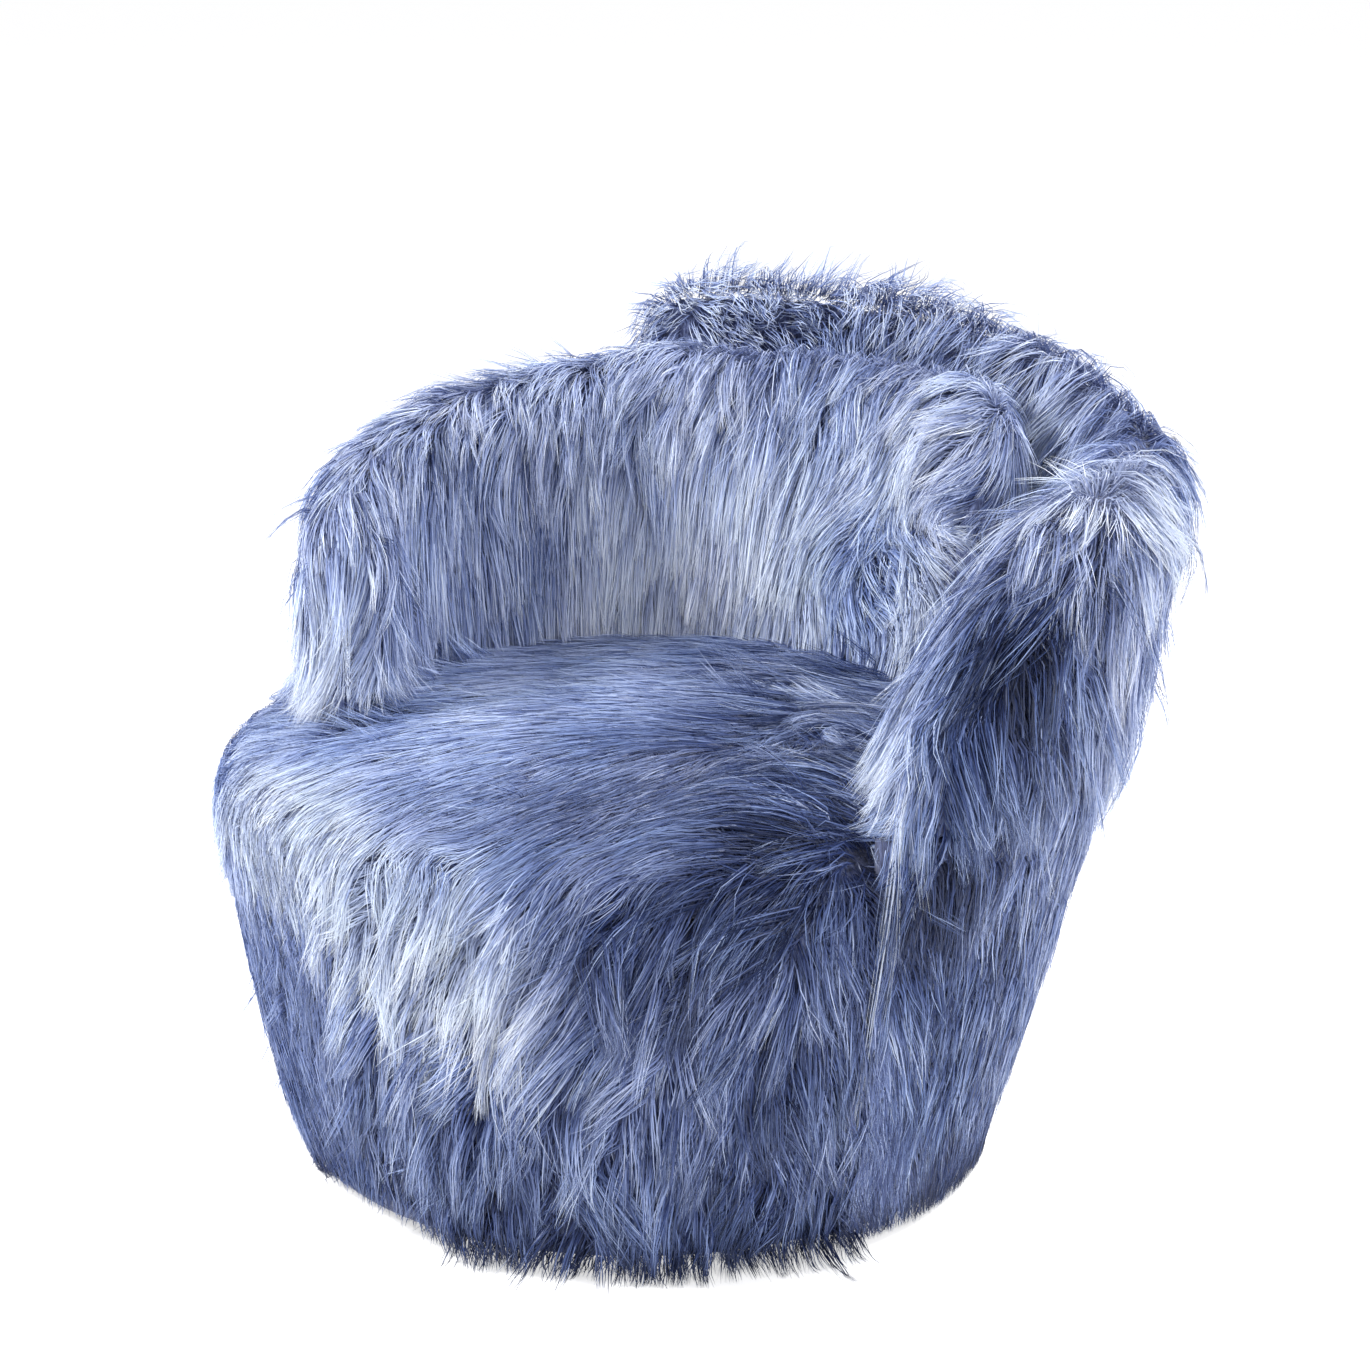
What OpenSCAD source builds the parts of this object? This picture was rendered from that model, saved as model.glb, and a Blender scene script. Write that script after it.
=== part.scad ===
// Round swivel tub chair in long fur, with a back of two overlapping wings.
// Millimetres. The origin is on the floor, on the swivel axis. The front faces -Y.

/* [Seat drum] */
// Radius of the drum at its shoulder, over the fur
drum_r = 380; // [365:1:400]
// Height of the middle of the seat, over the fur
seat_h = 420; // [404:1:440]
// Rise of the seat's crown over the shoulder, where the drum is widest
crown_h = 75; // [68:1:85]
// Clear height between the hem of the fur and the floor
hem_gap = 12; // [6:1:30]
// Depth of the fur cover, from its cloth to the mean reach of the pile
pile = 22; // [16:1:26]
// Padding between the drum's wall and the fur
pad_t = 12; // [8:1:14]

/* [Back wings] */
// Rise of the inner wing's crest over the seat, at its highest
inner_over_h = 256; // [220:2:280]
// Rise of the outer wing's crest over the seat, at its highest
outer_over_h = 298; // [270:2:340]
// Reach of the outer wing past the drum's shoulder, at its widest
wing_out_w = 110; // [100:1:130]
// Reach of the outer wing's side past the drum's shoulder, where it meets the skirt
skirt_out_w = 54; // [52:1:64]
// Thickness of the bent wood core in the inner wing and in the near arm
core_t = 22; // [16:1:24]
// Thickness of the bent wood core where the outer wing runs behind the inner one
thin_core_t = 9; // [6:0.5:9.5]
// Padding over the top of both wooden cores
crest_pad_t = 26; // [18:1:34]
// Diameter of the dowels that carry the wings
dowel_d = 16; // [12:1:17]

/* [Drum frame] */
// Thickness of the plywood deck
deck_t = 18; // [12:1:24]
// Thickness of the plywood seat ring
ring_t = 20; // [15:1:24]
// Width of the plywood seat ring
ring_w = 118; // [100:1:126]
// Thickness of the drum's bent wall
wall_t = 4; // [3:0.5:5]
// Side of the square drum posts
post_w = 36; // [28:1:40]
// Number of drum posts
posts_n = 8; // [6:1:10]
// Width of the webbing straps
web_w = 50; // [40:1:56]
// Thickness of the webbing straps
web_t = 1.5; // [1:0.1:2]

/* [Swivel] */
// Side of the square bearing plates, as a share of the plinth's radius
plate_share = 1.145; // [1.03:0.005:1.165]
// Thickness of the bearing plates
plate_t = 3.5; // [3:0.1:4]
// Pitch radius of the ball race, as a share of the plates' side
race_share = 0.3733; // [0.34:0.0001:0.38]
// Diameter of the balls
ball_d = 10; // [9:0.1:10.5]
// Number of balls
balls_n = 24; // [12:1:32]
// Thickness of the ball cage
cage_t = 1.6; // [1.2:0.1:2]
// Clear height between the two plates
plate_gap = 8; // [7.6:0.1:8]
// Diameter of the pivot bolt
pivot_d = 12; // [10:0.5:14]

/* [Plinth] */
// Radius of the plinth, as a share of drum_r
plinth_share = 0.6895; // [0.64:0.0005:0.705]
// Height of the plinth's ring
plinth_h = 42; // [34:1:46]
// Thickness of the plinth's wall
plinth_wall = 18; // [14:1:24]
// Thickness of the plinth's board
board_t = 15; // [12:1:18]
// Height of the glides under the plinth
glide_h = 5; // [4:0.5:8]
// Diameter of the glides
glide_d = 30; // [20:1:34]
// Number of glides round the ring
glides_n = 6; // [4:1:8]
// Thickness of the board that closes the plinth below
floor_t = 9; // [6:1:12]

/* [Hidden] */

$fn = 96;
// Clearance between pieces that nest
fit = 0.5;
// Clearance of the balls in their grooves and their cage
run_gap = 0.3;
// Clearance of the pivot, the screws and the bolts in their holes
hole_gap = 0.08;
// Clearance between the wings and the crown of the seat
crown_gap = 2;
// Clearance between the flat-sided skirt and the round drum
skirt_gap = 1.2;
// Overrun of every cut
over = 1;
// Degrees between two stations of the swept covers
turn_angle = 7.5;

// Sizes that follow from those above
shoulder_h = seat_h - crown_h;
inner_h = seat_h + inner_over_h;
outer_h = seat_h + outer_over_h;
plinth_r = plinth_share * drum_r;
plate_w = plate_share * plinth_r;
race_r = race_share * plate_w;

// Heights of the stack, from the floor up
board_z = glide_h + plinth_h;
plate_z = board_z + board_t;
upper_z = plate_z + plate_t + plate_gap;
deck_z = upper_z + plate_t;
post_z = deck_z + deck_t;
ball_z = plate_z + plate_t + plate_gap / 2;
seam_z = shoulder_h - pile / 2;
ring_top = shoulder_h - fit;
ring_z = ring_top - ring_t;
web_z = ring_top;
foam_z = web_z + 2 * web_t + fit;

// The drum's side: shares of the height from hem to shoulder, and of drum_r
side_shares = [[0, 0.832], [0.2, 0.876], [0.47, 0.926], [0.72, 0.963], [0.9, 0.99], [1, 1]];
// The seat's crown: shares of drum_r, and of the height from shoulder to seat_h
crown_shares = [[0, 1], [0.263, 0.973], [0.526, 0.893], [0.79, 0.76], [0.926, 0.6],
    [0.984, 0.36], [1, 0]];
// The skirt's side: shares of the height from hem to its top, and of its radius there
skirt_shares = [[0, 0.746], [0.2, 0.79], [0.47, 0.86], [0.72, 0.914], [0.84, 0.947], [0.93, 0.975],
    [1, 1]];

function mix(a, b, t) = a + (b - a) * t;
function side_r(z) = drum_r * lookup((z - hem_gap) / (shoulder_h - hem_gap), side_shares);
function crown_z(r) = mix(shoulder_h, seat_h, lookup(r / drum_r, crown_shares));
function side_z(share) = mix(hem_gap, shoulder_h, share);
dowel_top = crown_z(0.7 * drum_r) + 2 * crown_gap;

// Wing tables: angle round the axis from +X, then a share of drum_r
inner_foot_in_shares = [[54, 0.645], [90, 0.632], [130, 0.618], [160, 0.6], [185, 0.58],
    [205, 0.566], [228, 0.585]];
inner_foot_out_shares = [[54, 0.925], [130, 0.925], [150, 0.92], [170, 0.905], [185, 0.885],
    [200, 0.845], [215, 0.80], [228, 0.77]];
inner_rim_in_shares = [[54, 0.83], [70, 0.832], [90, 0.821], [110, 0.8], [130, 0.768],
    [150, 0.724], [168, 0.679], [185, 0.632], [200, 0.6], [212, 0.582], [228, 0.595]];
inner_rim_out_shares = [[54, 1.0], [110, 1.0], [130, 1.02], [150, 1.0], [168, 0.965],
    [185, 0.92], [200, 0.85], [212, 0.805], [228, 0.765]];
// The crest's height: angle, then a share of inner_h
inner_crest_shares = [[54, 0.975], [70, 0.994], [90, 1], [110, 0.994], [130, 0.979],
    [150, 0.959], [168, 0.935], [185, 0.914], [200, 0.893], [214, 0.875], [228, 0.825]];

// Outer wing tables: angle, then the way out of the drum as a share of wing_out_w
outer_foot_in_shares = [[-18, -0.345], [-10, -0.691], [0, -0.967], [10, -1.036], [25, -1.036],
    [34, -0.898], [44, -0.242], [50, 0.104], [132, 0.104]];
outer_rim_in_shares = [[-18, -0.173], [-10, -0.242], [0, -0.273], [10, -0.259], [22, -0.138],
    [38, 0.104], [46, 0.207], [52, 0.276], [90, 0.311], [132, 0.242]];
outer_rim_out_shares = [[-18, 0.376], [-14, 0.555], [-8, 0.733], [0, 0.844], [10, 0.955],
    [22, 1], [60, 1], [92, 0.933], [112, 0.822], [132, 0.688]];
// The same for its foot on the skirt, as a share of skirt_out_w
outer_foot_out_shares = [[-18, 0.598], [-10, 0.879], [0, 1], [110, 1], [132, 0.879]];
// The crest's height: angle, then a share of the way from the wing's foot to outer_h
outer_crest_shares = [[-18, 0.135], [-14, 0.336], [-8, 0.525], [0, 0.687], [10, 0.807],
    [22, 0.828], [42, 0.816], [52, 0.834], [62, 0.868], [72, 0.914], [82, 0.939], [92, 0.966],
    [102, 0.985], [112, 1], [122, 1], [132, 0.978]];
// Share of the pile on the outer wing's inner face: it has little fur where it is hidden
tuck_shares = [[40, 1], [54, 0.3]];
// The foot of the outer wing's core: share of the way from the inner to the outer padding
core_foot_shares = [[-18, 0.5], [0, 0.28], [25, 0.28], [40, 0.5], [132, 0.5]];
// Share of the full core thickness in the outer wing
core_t_shares = [[38, 1], [52, 0]];
// Levels of a wing's section, from its foot to its crest
level_shares = [0, 0.28, 0.55, 0.76, 0.9];
// Level where the section starts to round over
round_share = 0.7;
// Rounding of a wing's blunt end
end_round_r = 44;
// Least share of its thickness that a wing keeps at its very end
end_share = 0.36;
// Share of its height that a wing loses at its very end, and the most of what is over its foot
end_drop_share = 0.12;
end_drop_most = 0.75;
inner_ends = [54, 228];
outer_ends = [-18, 132];
// The end stations, as shares of the angle between two stations
end_step_shares = [0, 0.2, 0.55];

function full_round(u) = u >= 1 ? 1 : sqrt(1 - (1 - u) * (1 - u));
function ends_in(ends, d) = let (a = d / drum_r * 180 / PI) [ends[0] + a, ends[1] - a];
// How far the wing has grown to its full section at angle a
function grown(a, ends) = let (
    away = min(a - ends[0], ends[1] - a) * PI / 180 * drum_r * 0.8,
    u = away / end_round_r
) max(end_share, full_round(max(0, u)));
// Stations between two ends: close together at each end, and on the common grid between
function stations(ends) = let (
    first = ceil(ends[0] / turn_angle + 0.9),
    last = floor(ends[1] / turn_angle - 0.9)
) concat(
    [for (s = end_step_shares) ends[0] + s * turn_angle],
    [for (i = [first:last]) i * turn_angle],
    [for (i = [2:-1:0]) ends[1] - end_step_shares[i] * turn_angle]
);
function cap_share(f) = f <= round_share ? 1
    : sqrt(1 - pow((f - round_share) / (1 - round_share), 2));

// A section through a wing: up its inner face, over the crest and down its outer face.
// foot and rim hold the inner and outer radii, top is the crest's height.
function section(foot, rim, foot_zs, top) = let (
    n = len(level_shares),
    inner = [for (j = [0:n - 1]) let (
        f = level_shares[j],
        mid = mix((foot[0] + foot[1]) / 2, (rim[0] + rim[1]) / 2, f),
        half = (mix(foot[1] - foot[0], rim[1] - rim[0], f)) / 2 * cap_share(f)
    ) [mid - half, mix(foot_zs[0], top, f)]],
    outer = [for (j = [n - 1:-1:0]) let (
        f = level_shares[j],
        mid = mix((foot[0] + foot[1]) / 2, (rim[0] + rim[1]) / 2, f),
        half = (mix(foot[1] - foot[0], rim[1] - rim[0], f)) / 2 * cap_share(f)
    ) [mid + half, mix(foot_zs[1], top, f)]]
) concat(inner, [[(rim[0] + rim[1]) / 2, top]], outer);

// A pair of radii drawn in towards their middle at a wing's end, then inset by the layers
function drawn(pair, e, d_in, d_out) = let (
    mid = (pair[0] + pair[1]) / 2,
    half = (pair[1] - pair[0]) / 2 * e
) [mid - half + d_in * e, mid + half - d_out * e];

function inner_pair(a, e, d) = [
    drawn(drum_r * [lookup(a, inner_foot_in_shares), lookup(a, inner_foot_out_shares)], e, d, d),
    drawn(drum_r * [lookup(a, inner_rim_in_shares), lookup(a, inner_rim_out_shares)], e, d, d)];
function inner_section(a, ends, d) = let (
    e = grown(a, ends),
    p = inner_pair(a, e, d),
    top = inner_h * lookup(a, inner_crest_shares) * (1 - end_drop_share * (1 - e)) - d
) section(p[0], p[1], [for (r = p[0]) crown_z(r) + crown_gap], top);

function outer_r(a, shares) = drum_r + wing_out_w * lookup(a, shares);
function skirt_r(a) = drum_r + skirt_out_w * lookup(a, outer_foot_out_shares);
function outer_pair(a, e, d) = let (t = lookup(a, tuck_shares)) [
    drawn([outer_r(a, outer_foot_in_shares), skirt_r(a)], e, d * t, d),
    drawn([outer_r(a, outer_rim_in_shares), outer_r(a, outer_rim_out_shares)], e, d * t, d)];
shoulder_share = 0.926;
outer_foot_z = crown_z(shoulder_share * drum_r) + crown_gap;
// The crest's height over the floor where the wing has grown to share e of its section
function outer_top(a, e) = let (
    top = mix(outer_foot_z, outer_h, lookup(a, outer_crest_shares)),
    drop = end_drop_share * top
) top - (1 - e) * min(drop, (top - outer_foot_z) * end_drop_most / (1 - end_share));
function outer_section(a, ends, d) = let (
    e = grown(a, ends),
    p = outer_pair(a, e, d),
    top = outer_top(a, e) - d,
    in_z = max(outer_foot_z, crown_z(min(p[0][0], drum_r)) + crown_gap)
) section(p[0], p[1], [in_z, outer_foot_z], top);

// A section whose two feet are cut level at height z
function cut_foot(chain, z) = let (
    last = len(chain) - 1,
    lift = function(low, high) mix(low, high, (z - low[1]) / (high[1] - low[1]))
) [for (k = [0:last]) k == 0 ? lift(chain[0], chain[1])
    : k == last ? lift(chain[last], chain[last - 1]) : chain[k]];

// A wooden core: a band of even thickness on a wing's middle line
function band(mid_foot, mid_rim, t, foot_zs, top) =
    section([mid_foot - t / 2, mid_foot + t / 2], [mid_rim - t / 2, mid_rim + t / 2],
        foot_zs, top);
function pair_mid(p, share) = mix(p[0], p[1], share);
function core_mids(inner, a) = inner
    ? let (p = inner_pair(a, 1, pile)) [pair_mid(p[0], 0.5), pair_mid(p[1], 0.5)]
    : let (p = outer_pair(a, 1, pile))
        [pair_mid(p[0], lookup(a, core_foot_shares)), pair_mid(p[1], 0.5)];
function inner_core(a, ends, gap) = let (
    m = core_mids(true, a),
    z = crown_z(m[0]) + crown_gap,
    top = inner_h * lookup(a, inner_crest_shares) * (1 - end_drop_share * (1 - grown(a, ends)))
) band(m[0], m[1], core_t + 2 * gap, [z, z], top - pile - crest_pad_t + gap);
function outer_core(a, ends, gap) = let (
    m = core_mids(false, a),
    t = mix(thin_core_t, core_t, lookup(a, core_t_shares)),
    z = max(outer_foot_z, crown_z(min(m[0] - t, drum_r)) + crown_gap),
    top = outer_top(a, grown(a, ends))
) band(m[0], m[1], t + 2 * gap, [z, z], top - pile - crest_pad_t + gap);

function turned(chain, a) = [for (p = chain) [p[0] * cos(a), p[0] * sin(a), p[1]]];
function flat_list(lists) = [for (l = lists) each l];
function flipped(faces) = [for (f = faces) [f[2], f[1], f[0]]];

// Faces of a hood of m stations with p points each, open along its foot
function hood_sides(m, p, at) = [for (i = [0:m - 2], k = [0:p - 2])
    let (a = at + i * p + k, b = a + p) each [[a, b, b + 1], [a, b + 1, a + 1]]];
function end_cap(p, at) = let (n = (p - 1) / 2) concat(
    [for (k = [0:n - 2]) each [[at + k, at + k + 1, at + p - 2 - k],
        [at + k, at + p - 2 - k, at + p - 1 - k]]],
    [[at + n - 1, at + n, at + n + 1]]);
function hood_faces(m, p, at) = concat(hood_sides(m, p, at), end_cap(p, at),
    flipped(end_cap(p, at + (m - 1) * p)));

// A solid hood, closed by a strip along its foot
module solid_hood(rows) {
    m = len(rows);
    p = len(rows[0]);
    foot = [for (i = [0:m - 2]) let (a = i * p + p - 1, b = a + p, c = b - p + 1, d = a - p + 1)
        each [[a, b, c], [a, c, d]]];
    polyhedron(flat_list(rows), concat(hood_faces(m, p, 0), foot));
}

// A hollow hood between an outer and an inner surface, joined along the foot
module shell_hood(rows, inner_rows) {
    m = len(rows);
    p = len(rows[0]);
    s = m * p;
    e = (m - 1) * p;
    near = [for (i = [0:m - 2]) let (a = i * p, b = a + p)
        each [[b, a, a + s], [b, a + s, b + s]]];
    far = [for (i = [0:m - 2]) let (a = i * p + p - 1, b = a + p)
        each [[a, b, b + s], [a, b + s, a + s]]];
    start = [[0, p - 1, p - 1 + s], [0, p - 1 + s, s]];
    finish = [[e + p - 1, e, e + s], [e + p - 1, e + s, e + p - 1 + s]];
    polyhedron(flat_list(concat(rows, inner_rows)),
        concat(hood_faces(m, p, 0), flipped(hood_faces(m, p, s)), near, far, start, finish));
}

function inner_rows(d) = let (ends = ends_in(inner_ends, d))
    [for (a = stations(inner_ends)) let (b = moved(a, inner_ends, ends))
        turned(inner_section(b, ends, d), b)];
function outer_rows(d) = let (ends = ends_in(outer_ends, d))
    [for (a = stations(outer_ends)) let (b = moved(a, outer_ends, ends))
        turned(outer_section(b, ends, d), b)];
// Rows of a core, or with a gap those of the hollow that it fits
function core_rows(inner, gap) = let (
    full = inner ? inner_ends : outer_ends,
    real = ends_in(full, 2 * pile + core_t),
    ends = ends_in(full, 2 * pile + core_t - gap)
) [for (a = stations(full)) let (
    b = moved(a, full, real),
    chain = inner ? inner_core(b, real, gap) : outer_core(b, real, gap)
) turned(gap > 0 ? chain : cut_foot(chain, dowel_top), moved(a, full, ends))];
// A station moved in with its end, and left on the grid between
function moved(a, full, ends) = a < full[0] + turn_angle ? a + ends[0] - full[0]
    : a > full[1] - turn_angle ? a + ends[1] - full[1] : a;

module copies(n, r, from = 0) {
    for (i = [0:n - 1]) rotate(from + i * 360 / n) translate([r, 0, 0]) children();
}
module disc(r, h, z) { translate([0, 0, z]) cylinder(r = r, h = h); }
module corners(at) {
    for (x = [-at, at], y = [-at, at]) translate([x, y, 0]) children();
}

// Plinth
module plinth_ring() {
    color("#2b2622") difference() {
        disc(plinth_r, plinth_h, glide_h);
        disc(plinth_r - plinth_wall, plinth_h + 2 * over, glide_h - over);
    }
}
screw_d = 5;
bolt_d = 8;
plate_edge_w = 18;
plate_hole = plate_w / 2 - plate_edge_w;
module plinth_board() {
    color("#b08d5f") difference() {
        disc(plinth_r, board_t, board_z);
        corners(plate_hole) disc(screw_d / 2 + hole_gap, board_t + 2 * over, board_z - over);
        disc(pivot_d, board_t + 2 * over, board_z - over);
    }
}
module plinth_floor() {
    color("#3a332c") disc(plinth_r - plinth_wall - fit, floor_t, glide_h);
}
// Glides under the ring, and a larger one under the middle of the floor board
module plinth_glides() {
    rim_d = min(glide_d, plinth_wall);
    color("#1d1d1f") {
        copies(glides_n, plinth_r - plinth_wall / 2)
            cylinder(d1 = rim_d - fit, d2 = rim_d, h = glide_h);
        cylinder(d1 = glide_d - fit, d2 = glide_d, h = glide_h);
    }
}

// Swivel
module race_groove() {
    translate([0, 0, ball_z]) rotate_extrude() translate([race_r, 0])
        circle(d = ball_d + 2 * run_gap);
}
module square_plate(z) {
    corner_r = plate_w / 12;
    side = plate_w - 2 * corner_r;
    translate([0, 0, z + plate_t / 2]) {
        cube([plate_w, side, plate_t], center = true);
        cube([side, plate_w, plate_t], center = true);
    }
    corners(side / 2) disc(corner_r, plate_t, z);
}
sunk = plate_t / 2;
module screw_seat(z, gap) {
    translate([0, 0, z])
        cylinder(r1 = screw_d / 2 + gap, r2 = screw_d + gap, h = sunk);
}
module lower_race_plate() {
    color("#9a9da1") difference() {
        square_plate(plate_z);
        race_groove();
        corners(plate_hole) disc(screw_d / 2 + hole_gap, plate_t + 2 * over, plate_z - over);
        corners(plate_hole) screw_seat(plate_z + plate_t - sunk, hole_gap);
        disc(pivot_d / 2 + hole_gap, plate_t + 2 * over, plate_z - over);
    }
}
module plate_screws() {
    color("#c9cbce") corners(plate_hole) {
        disc(screw_d / 2, board_t + plate_t - sunk, board_z);
        screw_seat(plate_z + plate_t - sunk, 0);
    }
}
pivot_head_h = 6;
pivot_top = deck_z + pivot_head_h + 2 * run_gap;
module pivot_bolt() {
    color("#8f9296") {
        disc(pivot_d - fit, pivot_head_h, plate_z - pivot_head_h);
        disc(pivot_d / 2, pivot_top - plate_z, plate_z);
    }
}
module pivot_nut() {
    color("#8f9296") difference() {
        disc(pivot_d - fit, pivot_head_h, deck_z + run_gap);
        disc(pivot_d / 2 + hole_gap, pivot_head_h + 2 * over, deck_z + run_gap - over);
    }
}
module race_balls() {
    color("#d9dadc") copies(balls_n, race_r) translate([0, 0, ball_z]) sphere(d = ball_d);
}
cage_w = ball_d * 1.8;
module ball_cage() {
    color("#b59a55") difference() {
        disc(race_r + cage_w / 2, cage_t, ball_z - cage_t / 2);
        disc(race_r - cage_w / 2, cage_t + 2 * over, ball_z - cage_t / 2 - over);
        copies(balls_n, race_r)
            disc(ball_d / 2 + run_gap, cage_t + 2 * over, ball_z - cage_t / 2 - over);
    }
}
bolt_head_h = 4;
module upper_race_plate() {
    color("#9a9da1") difference() {
        square_plate(upper_z);
        race_groove();
        corners(plate_hole) disc(bolt_d / 2 + hole_gap, plate_t + 2 * over, upper_z - over);
        disc(pivot_d / 2 + hole_gap, plate_t + 2 * over, upper_z - over);
    }
}
module plate_bolts() {
    color("#c9cbce") corners(plate_hole) {
        disc(bolt_d, bolt_head_h, upper_z - bolt_head_h);
        disc(bolt_d / 2, plate_t + deck_t, upper_z);
        disc(bolt_d, bolt_head_h, post_z);
    }
}

// Drum frame
function wall_r(z) = side_r(z) - pile - pad_t - 2 * fit;
deck_r = wall_r(deck_z) - wall_t - fit;
ring_r = wall_r(ring_z) - wall_t - fit;
post_r = deck_r - post_w * 0.66;
module base_deck() {
    color("#b08d5f") difference() {
        disc(deck_r, deck_t, deck_z);
        corners(plate_hole) disc(bolt_d / 2 + hole_gap, deck_t + 2 * over, deck_z - over);
        disc(pivot_d + 2 * fit, deck_t + 2 * over, deck_z - over);
    }
}
cloth_t = 1;
module dust_cover() {
    color("#222226") difference() {
        disc(deck_r, cloth_t, deck_z - cloth_t);
        disc(plate_w * 0.71, cloth_t + 2 * over, deck_z - cloth_t - over);
    }
}
module drum_posts() {
    color("#c2a170") copies(posts_n, post_r)
        translate([-post_w / 2, -post_w / 2, post_z]) cube([post_w, post_w, ring_z - post_z]);
}
wall_levels = [deck_z, side_z(0.47), side_z(0.72), side_z(0.9), ring_top];
// A layer on the drum's side, from radius rule at its back to its thickness
module drum_layer(levels, back, t) {
    rotate_extrude() polygon(concat(
        [for (z = levels) [side_r(z) - back, z]],
        [for (i = [len(levels) - 1:-1:0]) [side_r(levels[i]) - back + t, levels[i]]]));
}
module drum_wall() {
    color("#a98c63") drum_layer(wall_levels, pile + pad_t + 2 * fit + wall_t, wall_t);
}
module drum_padding() {
    color("#e8e2d2") drum_layer(wall_levels, pile + pad_t + fit, pad_t);
}
module drum_fur() {
    color("#8394c4") drum_layer(
        [for (s = side_shares) min(side_z(s[0]), seam_z - fit)], pile, pile);
}
module seat_ring() {
    color("#c2a170") difference() {
        disc(ring_r, ring_t, ring_z);
        disc(ring_r - ring_w, ring_t + 2 * over, ring_z - over);
    }
}
web_reach = ring_r - ring_w * 0.7;
web_step = max(web_reach * 0.3, web_w + fit);
// Straps side by side across the seat ring, clear of the dowels
module straps(z) {
    for (i = [-2:2]) let (edge = abs(i) * web_step + web_w / 2,
        half = sqrt(pow(web_reach, 2) - pow(edge, 2)))
        translate([i * web_step - web_w / 2, -half, z]) cube([web_w, 2 * half, web_t]);
}
module webbing_under() { color("#cdbb92") straps(web_z); }
module webbing_over() { color("#cdbb92") rotate(90) straps(web_z + web_t); }

// Dowels stand on the seat ring and carry the cores of both wings
inner_dowel_angles = [75, 105, 135, 165, 195, 213];
outer_dowel_angles = [6, 18, 30];
module at_dowels() {
    for (a = inner_dowel_angles) rotate(a) translate([core_mids(true, a)[0], 0, 0]) children();
    for (a = outer_dowel_angles) rotate(a) translate([core_mids(false, a)[0], 0, 0]) children();
}
module wing_dowels() {
    color("#d0b37e") at_dowels() disc(dowel_d / 2, dowel_top - ring_top, ring_top);
}

// Seat
crown_radii = [for (s = crown_shares) s[0]];
// A crown inset by d, from the middle out
function crown_points(d) = [for (s = crown_shares)
    [s[0] * (drum_r - d), mix(shoulder_h, seat_h, s[1]) - d * (1 - pow(s[0], 6))]];
module seat_foam() {
    color("#efe6c8") difference() {
        intersection() {
            rotate_extrude() polygon(concat(crown_points(pile + fit),
                [[drum_r - pile - fit, ring_z], [0, ring_z]]));
            disc(drum_r, seat_h, foam_z);
        }
        at_dowels() disc(dowel_d / 2 + fit, seat_h, foam_z - over);
    }
}
module seat_fur() {
    seam_r = side_r(seam_z);
    inside = crown_points(pile);
    n = len(inside);
    color("#8798c8") difference() {
        rotate_extrude() polygon(concat(crown_points(0), [[seam_r, seam_z],
            [seam_r - pile, seam_z]], [for (i = [n - 1:-1:0]) inside[i]]));
        at_dowels() disc(dowel_d / 2 + fit, seat_h, foam_z - over);
    }
}

// Skirt: the outer wing's cloth runs on down the side of the drum to the hem
skirt_top = crown_z(shoulder_share * drum_r) - fit;
skirt_shoulder = skirt_top - pile * 0.3;
function skirt_z(s) = mix(hem_gap, skirt_shoulder, s);
function skirt_section(a, e) = let (n = len(skirt_shares),
    back = concat([for (s = side_shares) [side_r(side_z(s[0])) + skirt_gap, side_z(s[0])]],
        [[drum_r + skirt_gap, skirt_shoulder]]),
    face = [for (s = skirt_shares) let (z = skirt_z(s[0]), b = side_r(z) + skirt_gap)
        [max(mix(b, s[1] * skirt_r(a), e), b + pile * 0.3), z]]
) concat(back, [[(back[n - 1][0] + face[n - 1][0]) / 2, skirt_top]],
    [for (i = [n - 1:-1:0]) face[i]]);
module skirt_fur() {
    color("#8a9acb") solid_hood([for (a = stations(outer_ends))
        turned(skirt_section(a, grown(a, outer_ends)), a)]);
}

// Wings
module inner_wing_core() { color("#c2a170") solid_hood(core_rows(true, 0)); }
module outer_wing_core() { color("#c2a170") solid_hood(core_rows(false, 0)); }
module inner_wing_foam() {
    color("#efe6c8") shell_hood(inner_rows(pile + fit), core_rows(true, fit));
}
module outer_wing_foam() {
    color("#efe6c8") shell_hood(outer_rows(pile + fit), core_rows(false, fit));
}
module inner_wing_fur() { color("#8f9fd0") shell_hood(inner_rows(0), inner_rows(pile)); }
module outer_wing_fur() { color("#93a3d3") shell_hood(outer_rows(0), outer_rows(pile)); }

plinth_ring();
plinth_board();
plinth_floor();
plinth_glides();
lower_race_plate();
plate_screws();
pivot_bolt();
pivot_nut();
race_balls();
ball_cage();
upper_race_plate();
plate_bolts();
base_deck();
dust_cover();
drum_posts();
drum_wall();
seat_ring();
webbing_under();
webbing_over();
wing_dowels();
drum_padding();
drum_fur();
skirt_fur();
seat_foam();
seat_fur();
inner_wing_core();
inner_wing_foam();
inner_wing_fur();
outer_wing_core();
outer_wing_foam();
outer_wing_fur();
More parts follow.
